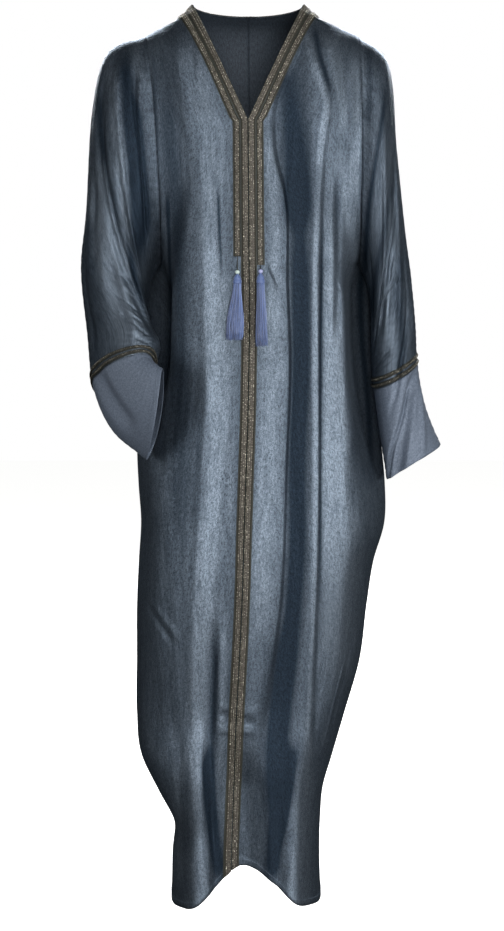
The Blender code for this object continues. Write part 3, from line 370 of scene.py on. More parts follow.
# Painted highlight and painted shade on the satin: bands where its colour is painted paler (above 0) or
# darker (below 0) for the light and shade on its folds. The share at both ends, reach to -X and +X, and the
# middle of each band: its x at each z
FRONT_PAINTED_LIGHT = {
    -1: named(Fold, [
        (0.5, 0.3, 0.026, 0.036, (-0.092, -0.068, -0.052, -0.05), (-0.04, -0.15, -0.24, -0.34)),
        (0.9, 1.5, 0.024, 0.026, (-0.058, -0.058, -0.051, -0.049, -0.053, -0.066, -0.074, -0.078, -0.072),
         (-0.2, -0.34, -0.455, -0.53, -0.71, -0.9, -1.05, -1.14, -1.26)),
        (-0.8, -0.5, 0.03, 0.022, (-0.122, -0.12, -0.112, -0.106, -0.104, -0.1, -0.102, -0.112),
         (-0.05, -0.15, -0.25, -0.34, -0.46, -0.6, -0.74, -0.9)),
        (-0.4, -0.9, 0.008, 0.008, (-0.142, -0.142, -0.138), (-0.05, -0.15, -0.28)),
        (0.5, 0.2, 0.024, 0.02, (-0.134, -0.15, -0.156), (-0.03, -0.12, -0.22)),
        (0.9, 1.1, 0.008, 0.007, (-0.088, -0.08, -0.077, -0.065, -0.062), (-1.11, -1.2, -1.28, -1.35, -1.4)),
        (-1.5, -1.4, 0.01, 0.022, (-0.068, -0.063, -0.052, -0.046), (-1.12, -1.2, -1.28, -1.36)),
        (0.6, 0.8, 0.016, 0.014, (-0.106, -0.11, -0.11), (-1.14, -1.22, -1.38)),
        (0.5, 0.7, 0.024, 0.022, (-0.13, -0.126, -0.124), (-0.3, -0.38, -0.52)),
        (-1, -0.8, 0.014, 0.014, (-0.05, -0.055, -0.06, -0.048), (-0.92, -1.055, -1.212, -1.34)),
        (0.6, 0.6, 0.012, 0.012, (-0.036, -0.04, -0.04), (-0.88, -1.1, -1.33)),
        (0.3, 0.7, 0.02, 0.024, (-0.074, -0.08, -0.084), (-1.15, -1.27, -1.42)),
        (-0.4, -0.4, 0.034, 0.034, (-0.062, -0.066, -0.07), (-0.58, -0.7, -0.8)),
        (-1.4, -1.2, 0.004, 0.004, (-0.045, -0.043, -0.039), (-0.27, -0.34, -0.42)),
        (0.4, 0.3, 0.014, 0.014, (-0.03, -0.028, -0.028), (-0.38, -0.6, -0.84)),
        (-1.2, -1, 0.005, 0.005, (-0.122, -0.12, -0.117), (-0.28, -0.38, -0.5)),
    ]),
    1: named(Fold, [
        (0.8, 0.5, 0.014, 0.016, (0.027, 0.04, 0.04, 0.038), (-0.18, -0.3, -0.42, -0.52)),
        (0.5, 0.9, 0.028, 0.028, (0.038, 0.038, 0.03, 0.024, 0.016), (-0.4, -0.53, -0.7, -0.82, -1)),
        (-0.6, -1.7, 0.034, 0.04, (0.05, 0.062, 0.071, 0.074), (-0.04, -0.14, -0.24, -0.36)),
        (-1.6, -1.2, 0.024, 0.024, (0.073, 0.079, 0.08, 0.074, 0.074, 0.062, 0.045, 0.048),
         (-0.22, -0.43, -0.53, -0.7, -0.83, -0.98, -1.13, -1.34)),
        (-0.6, -0.6, 0.04, 0.036, (0.056, 0.042, 0.04), (-0.92, -1.13, -1.3)),
        (1.3, 1, 0.007, 0.008, (0.114, 0.1045, 0.1015, 0.101, 0.1025, 0.1, 0.09, 0.069),
         (-0.16, -0.29, -0.43, -0.53, -0.7, -0.9, -1.136, -1.36)),
        (-1.2, -1, 0.005, 0.005, (0.1125, 0.11, 0.109, 0.11), (-0.3, -0.5, -0.7, -0.95)),
        (1.4, 1.2, 0.03, 0.034, (0.142, 0.138, 0.136, 0.132, 0.134, 0.122),
         (-0.2, -0.35, -0.53, -0.68, -0.9, -1.1)),
        (-1.4, -1.2, 0.011, 0.011, (0.135, 0.136, 0.137), (-0.25, -0.4, -0.53)),
        (1.7, 1.3, 0.008, 0.008, (0.084, 0.095, 0.104, 0.117, 0.112, 0.104),
         (-0.03, -0.08, -0.115, -0.151, -0.2, -0.26)),
        (1.3, 1, 0.008, 0.01, (0.112, 0.126, 0.136, 0.142, 0.142), (-0.04, -0.08, -0.13, -0.16, -0.21)),
        (-0.9, -1, 0.007, 0.007, (0.099, 0.11, 0.126), (-0.03, -0.09, -0.145)),
        (-0.3, -0.5, 0.008, 0.008, (0.14, 0.15, 0.153), (-0.04, -0.12, -0.2)),
        (0.8, 0.5, 0.024, 0.02, (0.126, 0.144, 0.152), (-0.03, -0.1, -0.18)),
        (1, 1.1, 0.009, 0.01, (0.099, 0.092, 0.083, 0.077, 0.069, 0.067),
         (-1.09, -1.15, -1.21, -1.28, -1.35, -1.4)),
        (-1.5, -1.5, 0.022, 0.016, (0.072, 0.06, 0.043, 0.036), (-1.11, -1.2, -1.28, -1.36)),
        (0.9, 0.6, 0.012, 0.012, (0.162, 0.164, 0.156), (-0.06, -0.18, -0.32)),
        (0.8, 0.4, 0.01, 0.012, (0.076, 0.066, 0.056), (-0.04, -0.085, -0.12)),
        (-1, -0.9, 0.009, 0.01, (0.194, 0.188, 0.176, 0.178, 0.188, 0.192),
         (-0.24, -0.3, -0.42, -0.5, -0.61, -0.76)),
        (0.8, 0.7, 0.014, 0.014, (0.158, 0.158, 0.156, 0.152), (-0.3, -0.42, -0.56, -0.7)),
        (0.7, 0.9, 0.022, 0.026, (0.088, 0.082, 0.078), (-1.14, -1.27, -1.42)),
        (0.6, 0.5, 0.02, 0.022, (0.158, 0.163, 0.15), (-0.74, -0.87, -1.06)),
    ]),
}

# The same painted highlight and painted shade bands on the sleeves, where they show from in front
SLEEVE_PAINTED_LIGHT = {
    -1: named(Fold, [
        (0.9, 1, 0.013, 0.012, (-0.215, -0.2, -0.19, -0.188, -0.186), (-0.06, -0.17, -0.26, -0.34, -0.46)),
        (-1, -1, 0.01, 0.012, (-0.232, -0.221, -0.206, -0.189, -0.171, -0.15),
         (-0.08, -0.216, -0.287, -0.357, -0.419, -0.5)),
        (1.5, 1.6, 0.028, 0.034, (-0.23, -0.219, -0.205, -0.187, -0.176),
         (-0.22, -0.356, -0.42, -0.475, -0.57)),
        (-0.5, -0.5, 0.02, 0.02, (-0.246, -0.238, -0.23), (-0.3, -0.45, -0.58)),
        (-1.1, -1, 0.02, 0.02, (-0.19, -0.178, -0.166, -0.15), (-0.05, -0.16, -0.24, -0.38)),
        (0.9, 0.3, 0.014, 0.012, (-0.166, -0.168, -0.164), (-0.03, -0.08, -0.13)),
        (-1.2, -0.9, 0.022, 0.022, (-0.172, -0.168, -0.166, -0.164), (-0.13, -0.22, -0.3, -0.42)),
    ]),
    1: named(Fold, [
        (-1, -1, 0.007, 0.007, (0.214, 0.194, 0.184, 0.18), (-0.1, -0.228, -0.298, -0.45)),
        (-1, -0.9, 0.009, 0.009, (0.224, 0.207, 0.196, 0.188), (-0.24, -0.341, -0.412, -0.52)),
        (-0.7, -0.8, 0.014, 0.014, (0.236, 0.23, 0.236, 0.23), (-0.36, -0.455, -0.5, -0.6)),
        (0.4, 0.5, 0.026, 0.026, (0.212, 0.212, 0.208), (-0.16, -0.35, -0.58)),
        (0.5, 0.3, 0.014, 0.014, (0.172, 0.172, 0.166), (-0.06, -0.14, -0.22)),
        (-0.6, -0.6, 0.01, 0.01, (0.184, 0.182, 0.178), (-0.05, -0.13, -0.2)),
    ]),
}

# How far a fold of the back is lifted where its painted highlight is full, or sunk where its painted shade is
# full, and how the sleeves' painted bands fade from the side that faces front to the one behind
BACK_PAINTED_LIGHT_LIFT = 0.007
SLEEVE_FACE = (-0.1, 0.3)

# The break across the back at the underarms: rows in a bell's half width, reach, and fade at the edges
BREAK_ROWS = 6
BREAK_REACH = 0.13
BREAK_EDGE_FADE = 14

# Soft ripples all over the cloth: height, distance from crest to crest, and lean. Their crests wander
# by shares of that distance, each over its own length, and their height swells along and across
RIPPLES = ((0.00026, 0.0230, 0.05), (0.00018, 0.0137, -0.07), (0.00012, 0.0091, 0.11))
RIPPLE_WANDER = ((0.35, 0.17, 2), (0.2, 0.061, 1))
SWELL_SHARE = 0.4
SWELL_LENGTH = 0.11
SWELL_WIDTH = 0.05
FINE_FOLDS_START = (0.018, 0.034)

# Crinkles round the sleeves and ripples down them, from the first rings below the armhole on
CRINKLE_HEIGHT = 0.0003
CRINKLE_PITCH = 0.016
CRINKLE_SWAY = 0.6
CRINKLE_WAVES = 3
SLEEVE_RIPPLE_HEIGHT = 0.0001
SLEEVE_RIPPLE_SWAY = 1.2
SLEEVE_RIPPLE_LENGTH = 0.05
SLEEVE_RELIEF_START = (0.2, 1.0)

# The cloth that shows: its wall, turned hems, swollen seams and stitches
CLOTH_SHOWN = 0.0008
HEM_TURN = 0.012
HEM_EDGE = 0.001
HEM_STEP = 0.0006
SEAM_PUFF = 0.0005
SEAM_PUFF_REACH = 0.0045
STITCH_PITCH = 0.0032
STITCH_LENGTH = 0.0024
STITCH_WIDTH = 0.0005
STITCH_INSET = 0.002
STITCH_TONE = 0.8

# Weaves: the size of the streaks and of the finer grain in millimetres across and along, and the depth
Weave = namedtuple("Weave", "streak grain depth")
SATIN_WEAVE = Weave((2.8, 6.0), (1.6, 2.0), 0.00050)
CRINKLED_WEAVE = Weave((8.0, 3.0), (2.0, 1.8), 0.00055)
REVERSE_WEAVE = Weave((2.0, 6.0), (1.2, 1.2), 0.00020)
CREPE_WEAVE = Weave((3.0, 4.0), (1.2, 1.2), 0.00025)
YARN_NOISE = {"Detail": 4.0, "Roughness": 0.65}
YARN_SPAN = (0.78, 1.22)
YARN_GLOSS = 0.08

# Painted light on the satin, and its gloss: what multiplies its colour where shade is painted and where a
# highlight is painted, how far its roughness moves with them, and random patches: millimetres across and
# along, and how far they change the painted tone
PaintedLightAndGloss = namedtuple("PaintedLightAndGloss", "dull bright rough patch patchy")
PAINTED_LIGHT_AND_GLOSS = PaintedLightAndGloss((0.16, 0.20, 0.24), (1.78, 1.59, 1.46), 0.08, (9.0, 42.0), 0.42)
SLEEVE_PAINTED_LIGHT_AND_GLOSS = PAINTED_LIGHT_AND_GLOSS._replace(patch=(16.0, 26.0), patchy=0.55)
PATCH_NOISE = {"Detail": 7.0, "Roughness": 0.72}
PATCH_SPAN = (0.3, 0.7)
SATIN_SPECULAR = 0.3
SATIN_SHEEN = "#d3e3f5"

# The cuts of the cloth that shows: width, length and area of the flat piece
Cut = namedtuple("Cut", "flat area")

# Grid sizes: rows from hem to underarm and from there to the shoulder, columns across each panel, and
# rows and steps round the sleeves and cuffs
LOWER_ROWS = 170
UPPER_ROWS = 60
STRIP_ROWS = 3
FRONT_COLUMNS = 150
BACK_SHOULDER_COLUMNS = 40
BACK_NECK_COLUMNS = 64
SLEEVE_TURNS = 128
SLEEVE_GRID_ROWS = 120
CUFF_GRID_ROWS = 44

# Braid: distances of the rows' edges from the neck edge or the centre seam, the panel columns or the
# distances between which each row lies, and the layers' heights and sizes
BRAID_PLACES = (0.0, 0.0016, 0.0104, 0.0136, 0.0224)
BRAID_STEPS = 3
BRAID_COLUMNS = {"inner": (0.3, 7.4), "outer": (7.6, 12.6)}
NECK_BRAID_EDGES = {1: (0.0012, 0.0119), 2: (0.0121, 0.0236)}
NECK_BRAID_POINTS = 121
BRAID_LINES = 13
CUFF_BRAID_LINES = 7
GROUND_LIFT = 0.0008
CORE_LIFT = 0.0012
CORE_CROWN = 0.0007
TAPE_THICK = 0.0005
CORE_WIDTH = 0.50
CORE_LINES = 7
CORD_RADIUS = 0.0006
CORD_SIDES = 6
CORD_TONES = (0.4, 0.6)
CORD_DEPTH = 0.0004
STONE_RADIUS = 0.00085
STONE_HEIGHT = 0.0005
STONE_TOP = 0.55
STONE_TILT = 0.22
STONE_TONE_START = 0.7
LINE_END = 1.01
BRAID_THICK = 0.0012
BRAID_LIFT = 0.0004
BACK_BRAID_END = 0.03
CUFF_BRAID_WIDTH = 0.007
CUFF_BRAID_PITCH = 0.010
CUFF_BRAID_MARGIN = 0.0015
TASSEL_ROW_END = {-1: -0.383, 1: -0.396}
ABOVE_NECK = 0.1

# Thread worked in small cells: their size in millimetres, turn, unevenness and depth, and their finish
Cells = namedtuple("Cells", "size turn uneven depth finish")
GROUND_CELLS = Cells(1.1, 0.0, 0.3, 0.0003, {"Roughness": 0.7, "Metallic": 0.1})
PLAIT_CELLS = Cells(1.5, math.pi / 4, 0.6, 0.0005, {"Roughness": 0.5, "Metallic": 0.45})

# The first number of each group of random draws
FRONT_BRAID_DRAWS = {"inner": 1, "outer": 11}
NECK_BRAID_DRAWS = 30
CUFF_BRAID_DRAWS = 50
TASSEL_DRAWS = 7

# Tassels: heights of the cord's top, the bead and the skirt's ends, how many times as wide the skirt
# is at its ends, and its lean in x
Tassel = namedtuple("Tassel", "top_z head_z end_z spread_x spread_y lean")
TASSELS = {
    -1: Tassel(-0.3835, -0.4030, -0.5080, 2.4, 1.25, -0.0050),
    1: Tassel(-0.3965, -0.4020, -0.5170, 1.5, 1.35, 0.0020),
}
FRONT = np.array([0.0, -1.0, 0.0])
TASSEL_SIDES = {"cord": 8, "bead": 20, "head": 24, "skirt": 4}
CORD_CLEAR = 0.0003
CORD_DRIFT = 0.012
CORD_STEPS = 24

# The skirt's strands: how far they sway forward, their waves' height and least number, how uneven their
# ends are, where they stop spreading, and the spiral of their roots
STRANDS = 140
STRAND_STEPS = 9
STRAND_RADIUS = 0.00055
STRAND_TAPER = 0.75
STRAND_SWING = 0.005
STRAND_WAVE = 0.0009
STRAND_WAVES = 0.7
STRAND_UNEVEN = 0.07
STRAND_SPREAD_END = 0.8
SPIRAL_TURN = math.pi * (3 - math.sqrt(5))
SPIRAL_REACH = 0.86
ROOT_DEPTH = 0.017

# The bead, from pole to pole, and the bound head: its lap over the strands' roots, its crown's growth and
# start, its waist's place, reach and depth, and the ridges of its binding
HEAD_RADIUS = 0.0065
HEAD_CLEAR = 0.0015
BEAD_RADIUS = 0.0036
BEAD_STEPS = 20
BEAD_POLE = 0.02
BEAD_SQUASH = 0.9
HEAD_STEPS = 56
HEAD_TONE = 0.35
HEAD_LAP = 0.003
HEAD_TOP = BEAD_RADIUS * 1.5
HEAD_CROWN = (0.62, 0.04)
HEAD_WAIST = (0.62, 0.16, 0.14)
BINDING_HEIGHT = 0.00025
BINDING_TURNS = 12
BINDING_END = 0.93

# A strand's shade: its own random part, more light on the side that is lit, and less all over
STRAND_OWN_TONE = 0.65
STRAND_LIT_TONE = 0.45
STRAND_DARKER = 0.05
TASSEL_LIT_TURN = 0.6

# The camera stands 3.3 m in front of the garment, a little above the waist. The floor lies under the hem
CAMERA_PLACE = (0.006, -3.30, -0.35)
CAMERA_AIM = (0.006, 0.0, -0.712)
CAMERA_LENS = 81.55
SENSOR_HEIGHT = 36.0
FLOOR_DROP = 0.055
FLOOR_SIZE = 14.0
FLOOR_GLOW = 0.99

# Soft boxes: the setting with their power, their place, the height on the middle line that they face,
# and their width and height
Lamp = namedtuple("Lamp", "name kind place aim_z width height")
LAMPS = named(Lamp, [
    ("key", "key", (0.25, -3.4, -0.8), -0.7, 0.7, 1.6),
    ("fill", "fill", (2.5, -2.3, -0.6), -0.7, 1.2, 1.8),
    ("low_fill", "low_fill", (-2.5, -2.3, -0.6), -0.7, 1.2, 1.8),
    ("top", "top", (0.5, -2.4, 1.9), -0.1, 1.4, 1.0),
    ("side_right", "side", (-2.8, 0.3, 0.4), -0.7, 1.0, 2.0),
    ("side_left", "side", (2.8, 0.3, 0.4), -0.7, 1.0, 2.0),
    ("back_right", "back", (-0.7, 3.0, 0.8), -0.7, 1.2, 1.2),
    ("back_left", "back", (0.7, 3.0, 0.8), -0.7, 1.2, 1.2),
])


def smooth_curve(stations, values, at):
    """Values between stations by cubic steps whose slopes come from the neighbours on both sides."""
    stations = np.asarray(stations, float)
    values = np.asarray(values, float)
    if values.ndim == 1:
        return smooth_curve(stations, values[:, None], at)[..., 0]
    at = np.clip(np.asarray(at, float), stations[0], stations[-1])
    slopes = np.gradient(values, stations, axis=0)
    cell = np.clip(np.searchsorted(stations, at, side="right") - 1, 0, len(stations) - 2)
    width = (stations[cell + 1] - stations[cell])[..., None]
    t = (at - stations[cell])[..., None] / width
    start = (1 + 2 * t) * (1 - t) ** 2 * values[cell] + t * (1 - t) ** 2 * width * slopes[cell]
    end = t * t * (3 - 2 * t) * values[cell + 1] + t * t * (t - 1) * width * slopes[cell + 1]
    return start + end


def ease(t):
    """0 to 1 with no slope at either end: 3 t squared less 2 t cubed."""
    t = np.clip(t, 0.0, 1.0)
    return t * t * (3 - 2 * t)


def ramp(t, span):
    """0 up to the start of the span, 1 from its end on, with no slope at either."""
    return ease((t - span[0]) / (span[1] - span[0]))


def bump(t):
    """A soft ridge: the square of 1 less t squared, and 0 from t = 1 on."""
    return np.where(np.abs(t) < 1, (1 - t * t) ** 2, 0.0)


def unit(vectors):
    """The vectors at length 1."""
    return vectors / np.maximum(np.linalg.norm(vectors, axis=-1, keepdims=True), 1e-12)


def section_at(z):
    """All columns of the body's table at the heights z."""
    table = np.array(BODY[::-1])
    values = smooth_curve(table[:, 0], table[:, 1:], z)
    return Section(z, *(values[..., i] for i in range(values.shape[-1])))


def side_seam(section, side):
    """The x of a side seam, and how far that side is drawn in beside its sleeve."""
    if side < 0:
        return section.right_x, section.right_pinch
    return section.left_x, section.left_pinch


def fold_height(folds, x, z):
    """How far the folds lift the cloth: each is a soft ridge across x that fades at both of its ends."""
    total = np.zeros(np.broadcast(x, z).shape)
    for fold in folds:
        along = (fold.z[0] - z) / (fold.z[0] - fold.z[-1])
        away = x - smooth_curve(-np.array(fold.z), fold.x, -z)
        height = fold.top_height + (fold.end_height - fold.top_height) * np.clip(along, 0, 1)
        fade = ease(along / FOLD_FADE) * ease((1 - along) / FOLD_FADE)
        reach = np.where(away < 0, fold.low_reach, fold.high_reach)
        total = total + height * fade * bump(away / reach)
    return total


def crease_height(creases, across, along):
    """Short creases: a soft ridge over the distance from a straight line, fading at both ends."""
    total = np.zeros(np.broadcast(across, along).shape)
    for crease in creases:
        start = np.array(crease.start)
        run = np.array(crease.end) - start
        length = np.linalg.norm(run)
        share = ((across - start[0]) * run[0] + (along - start[1]) * run[1]) / length**2
        away = ((across - start[0]) * run[1] - (along - start[1]) * run[0]) / length
        fade = ease(share / CREASE_FADE) * ease((1 - share) / CREASE_FADE)
        total = total + crease.height * fade * bump(away / crease.half_width)
    return total


def ripple_height(across, along):
    """Waves down the cloth, each a sine across it whose crests lean and wander a little."""
    total = np.zeros(np.broadcast(across, along).shape)
    for number, (height, pitch, lean) in enumerate(RIPPLES):
        wander = sum(part * np.sin(along / length + turn * number) for part, length, turn in RIPPLE_WANDER)
        wave = np.sin(along / SWELL_LENGTH + across / SWELL_WIDTH + 3 * number)
        swell = 1 - SWELL_SHARE + SWELL_SHARE * wave
        total = total + height * swell * np.sin(2 * np.pi * ((across + lean * along) / pitch + wander))
    return total


def painted_light_tone(bands, x, z, face=1.0):
    """The painted highlight and painted shade of the satin, from 0 (full painted shade) to 1 (full painted
    highlight): one half where no band lies.
    """
    return np.clip(0.5 + 0.5 * face * fold_height(bands, x, z), 0.0, 1.0)


def hem_lift(x, z):
    """How far the front's arched hem raises a point near it."""
    hem = np.array(FRONT_HEM)
    near = np.clip(1 - (z - HEM_Z) / HEM_LIFT_RANGE, 0, 1) ** 2
    return (smooth_curve(hem[:, 0], hem[:, 1], x) - HEM_Z) * near


def ring_points(rings, turns, station):
    """The closed curve through a ring's four points: a middle, an oval and its second harmonic."""
    table = np.array(rings)
    outer, front, inner, back = (smooth_curve(range(len(rings)), table[:, i], station) for i in range(4))
    angle = 2 * math.pi * np.asarray(turns)[..., None]
    middle = (outer + front + inner + back) / 4
    oval = (outer + inner - front - back) / 4
    wave = (outer - inner) / 2 * np.cos(angle) + (front - back) / 2 * np.sin(angle)
    return middle + wave + oval * np.cos(2 * angle)


def shoulder_ridge(side, along):
    """The shoulder line, from the neck point to the top of the armhole."""
    top = np.array(SLEEVE_RINGS[side][0].outer)
    along = np.asarray(along, float)
    fall = 1 - (1 - along) ** SHOULDER_CURVE
    x = side * NECK_HALF + (top[0] - side * NECK_HALF) * along
    return np.stack([x, top[1] * along, top[2] * fall], axis=-1)


def armhole_edge(side, level, face):
    """The armhole's edge of the front (face -1) or the back (face 1), at each level."""
    turn = (1 - level) / 2 if face < 0 else (1 + level) / 2
    edge = ring_points(SLEEVE_RINGS[side], turn, np.zeros_like(turn))
    return edge + np.array([0, face * SEAM / 2, 0])


def neck_edge(side, level):
    """The front's inner edge above the underarm: up the centre seam to level 0.5, then along the V."""
    z = UNDERARM_Z + (UNDERARM_Z + V_DEPTH) * -2 * np.minimum(level, 0.5)
    section = section_at(z)
    seam_x = section.trim_x * (1 - 2 * level) + side * SEAM / 2
    seam_y = section.front_y + (V_FRONT - section.front_y) * ease(2 * level)
    climb = np.clip(2 * level - 1, 0, 1)
    v_x = side * (NECK_HALF * climb + SEAM / 2)
    v_y = V_FRONT * np.cos(math.pi / 2 * climb) ** V_CURVE - SEAM / 2
    low = np.stack([seam_x, seam_y, z], axis=-1)
    high = np.stack([v_x, v_y, -V_DEPTH * (1 - climb)], axis=-1)
    return np.where((level <= 0.5)[:, None], low, high)


def front_columns(width, slant):
    """Column places from 0 at the inner edge to 1: fine steps under the braid, then even steps."""
    steps = np.arange(BRAID_STEPS * (len(BRAID_PLACES) - 1) + 1) / BRAID_STEPS
    braid = np.interp(steps, range(len(BRAID_PLACES)), BRAID_PLACES)
    rest = np.linspace(0, 1, FRONT_COLUMNS + 1)[1:]
    return braid * slant / width, np.broadcast_to(rest, (len(width), len(rest)))


def front_rows(inner, outer, wrap, square, slant, pinch):
    """Rows of a front between its inner and outer edges: with wrap 1 each bends round to the side
    seam as a squared circle, with wrap 0 it is a flat parabola across to the armhole."""
    braid, rest = front_columns(np.abs(outer[:, :1] - inner[:, :1]), slant)
    spread = wrap * np.sin(np.pi / 2 * rest) + (1 - wrap) * rest
    q = np.concatenate([braid, braid[:, -1:] + (1 - braid[:, -1:]) * spread], axis=1)
    round_part = (1 - q**square) ** (1 / square)
    share = wrap * round_part + (1 - wrap) * (1 - q * q)
    turn = np.concatenate([0 * braid, rest], axis=1)
    drawn = pinch * wrap * ramp(turn, PINCH_IN) * (1 - ramp(turn, PINCH_OUT))
    x = inner[:, :1] + (outer[:, :1] - inner[:, :1]) * q - np.sign(outer[:, :1]) * drawn
    y = outer[:, 1:2] + (inner[:, 1:2] - outer[:, 1:2]) * share
    z = inner[:, 2:] + (outer[:, 2:] - inner[:, 2:]) * (wrap * q**3 + (1 - wrap) * q)
    return np.stack([x, y, z], axis=-1), q


def front_lower(side):
    """The front from hem to underarm, with its edge fade: 1 on the panel, 0 at the side seam."""
    z = np.linspace(HEM_Z, UNDERARM_Z, LOWER_ROWS + 1)[:-1]
    section = section_at(z)
    side_x, pinch = side_seam(section, side)
    inner = np.stack([section.trim_x + side * SEAM / 2, section.front_y, z], axis=-1)
    outer = np.stack([side_x, section.side_y - SEAM / 2 - pinch * PINCH_EASE, z], axis=-1)
    ones = np.ones((len(z), 1))
    rows, q = front_rows(inner, outer, ones, section.square[:, None], ones, pinch[:, None])
    rows[..., 2] += hem_lift(rows[..., 0], z[:, None])
    return rows, 1 - q**LOWER_EDGE_FADE


def front_upper(side):
    """The front from underarm to just below the shoulder line."""
    level = np.linspace(0, SHOULDER_LEVEL, UPPER_ROWS + 1)
    inner = neck_edge(side, level)
    outer = armhole_edge(side, level, -1)
    wrap = (1 - ease(level / WRAP_END))[:, None]
    slant = np.where(level <= 0.5, 1.0, math.hypot(1, NECK_HALF / V_DEPTH))[:, None]
    rows, q = front_rows(inner, outer, wrap, UPPER_SQUARE, slant, 0.0)
    fade = (1 - q**UPPER_EDGE_FADE) * (1 - ramp(level, FRONT_FADE))[:, None]
    return rows, fade


def shoulder_rows(last, strip, ridge, ends):
    """Rows from the last one below the shoulder to the strip beside its line, and on to the line, whose
    ends are drawn onto the armholes: each end is a side, a face, a column and the pull at each column."""
    share = np.linspace(0, 1, STRIP_ROWS + 1)[1:, None, None]
    rows = np.concatenate([last + (strip - last) * share, strip + (ridge - strip) * share])
    level = np.linspace(SHOULDER_LEVEL, 1, 2 * STRIP_ROWS + 1)[1:]
    for side, face, column, pull in ends:
        miss = armhole_edge(side, level, face) - rows[:, column]
        rows = rows + pull[None, :, None] * miss[:, None]
    return rows


def turned_height(side, grid):
    """How far the cloth is lifted so that it falls back as its table asks: along each row, outward from
    the middle, the lift grows by the form's own fall less the fall in the table."""
    table = np.array([np.concatenate([turn.places, turn.falls]) for turn in FRONT_TURNS[side]])
    stations = [-turn.z for turn in FRONT_TURNS[side]]
    out, back = side * np.diff(grid[..., 0], axis=1), np.diff(grid[..., 1], axis=1)
    place = side * (grid[:, 1:, 0] + grid[:, :-1, 0]) / 2
    height = (grid[:, 1:, 2] + grid[:, :-1, 2]) / 2
    places, falls = np.split(smooth_curve(stations, table, -height), 2, axis=-1)
    share = ease((place[..., None] - places[..., :-1]) / np.diff(places, axis=-1))
    fall = falls[..., 0] + np.sum(np.diff(falls, axis=-1) * share, axis=-1)
    inside = (place > places[..., 0]) & (place < places[..., -1])
    gain = np.where(inside, back - fall * out, 0.0)
    return np.concatenate([np.zeros((len(grid), 1)), np.cumsum(gain, axis=1)], axis=1)


def front_grid(side):
    """Points of a front panel, a row for each height from hem to shoulder line, with all its folds."""
    low, low_fade = front_lower(side)
    high, high_fade = front_upper(side)
    grid = np.concatenate([low, high])
    fade = np.concatenate([low_fade, high_fade])
    x, z = grid[..., 0], grid[..., 2]
    turned = ramp(z, TURN_RANGE)
    column = np.clip(np.arange(grid.shape[1]) - (grid.shape[1] - 1 - FRONT_COLUMNS), 0, None)
    drawn_back = 1 - ramp(column / FRONT_COLUMNS, TURN_FADE)
    lift = fold_height(FRONT_FOLDS, x, z) * (1 - turned) + turned_height(side, grid) * drawn_back * turned
    inner_x = grid[:, :1, 0]
    clear = ramp(np.abs(x - inner_x), FINE_FOLDS_START)
    finer = fold_height(FRONT_DETAIL, x, z) + crease_height(FRONT_CREASES, x, z) + ripple_height(x, z)
    tuck = crease_height(TUCK_CREASES, x, z)
    grid[..., 1] -= (lift + tuck + finer * clear) * fade

    top = np.array(SLEEVE_RINGS[side][0].outer)
    slant = np.array([[math.hypot(1, NECK_HALF / V_DEPTH)]])
    braid, rest = front_columns(np.array([[abs(top[0]) - NECK_HALF]]), slant)
    q = np.concatenate([braid, braid[:, -1:] + (1 - braid[:, -1:]) * rest], axis=1)[0]
    ridge = shoulder_ridge(side, q)
    ridge[:, 0] += side * SEAM / 2 * (1 - q)
    ridge[:, 1] -= SEAM / 2
    strip = ridge + np.array([0, -RIDGE_STRIP, -STRIP_DROP])
    ends = [(side, -1, -1, q**RIDGE_PULL)]
    return np.concatenate([grid, shoulder_rows(grid[-1], strip, ridge, ends)])


def back_top(c):
    """The back's top edge: one shoulder line, the back of the neck, and the other shoulder line."""
    side = np.where(c < 0, -1.0, 1.0)
    reach = np.abs(c)
    angle = np.pi / 2 * np.clip(reach / NECK_SHARE, 0, 1)
    neck_y = BACK_NECK_Y * np.cos(angle) ** NECK_CURVE
    neck = np.stack([side * NECK_HALF * np.sin(angle), neck_y, -BACK_NECK_DROP * np.cos(angle)], axis=-1)
    along = np.clip((reach - NECK_SHARE) / (1 - NECK_SHARE), 0, 1)
    ridge = np.where((c < 0)[..., None], shoulder_ridge(-1, along), shoulder_ridge(1, along))
    point = np.where((reach < NECK_SHARE)[..., None], neck, ridge)
    return point + np.array([0, SEAM / 2, 0])


def back_lower(z, c):
    """Rows of the back below the armholes: squared half circles from side seam to side seam."""
    section = section_at(z)
    q = np.sin(np.pi / 2 * c)[None, :]
    middle = ((section.right_x + section.left_x) / 2)[:, None]
    half = ((section.left_x - section.right_x) / 2)[:, None]
    pinch = (section.right_pinch + section.left_pinch) / 2
    side_y = (section.side_y + SEAM / 2 + pinch * PINCH_EASE)[:, None]
    square = section.square[:, None]
    y = side_y + (section.back_y[:, None] - side_y) * (1 - np.abs(q) ** square) ** (1 / square)
    return np.stack([middle + half * q, y, np.broadcast_to(z[:, None], y.shape)], axis=-1)


def pull_to_side(c, side, power):
    """How far each column of the back is drawn along with one side edge: a power of its place."""
    return np.where(np.sign(c) == side, np.abs(c) ** power, 0.0)


def back_upper(level, c, foot):
    """Rows of the back from the underarm level up, drawn to the top edge and both armholes."""
    rise = level[:, None]
    top = back_top(c)
    edges = {s: armhole_edge(s, level, 1) for s in (-1, 1)}
    left, right = edges[-1][:, :1], edges[1][:, :1]
    even = left + (right - left) * (c + 1) / 2
    x = foot[:, 0] + (even - foot[:, 0]) * ease(rise / BACK_EVEN_LEVEL)
    x = x + (top[:, 0] - x) * ease(rise)
    z = foot[:, 2] + (top[:, 2] - foot[:, 2]) * rise * (1 + BACK_RISE * (1 - rise))
    full = foot[:, 1] + (BLADE_Y - BLADE_FALL * c**2 - foot[:, 1]) * ease(rise / BLADE_LEVEL)
    y = top[:, 1] + (full - top[:, 1]) * (1 - rise**BLADE_SQUARE) ** (1 / BLADE_SQUARE)
    rows = np.stack([x, y, z], axis=-1)
    for s, end in ((-1, 0), (1, -1)):
        miss = edges[s] - rows[:, end]
        rows = rows + pull_to_side(c, s, BACK_SIDE_PULL)[None, :, None] * miss[:, None]
    return rows


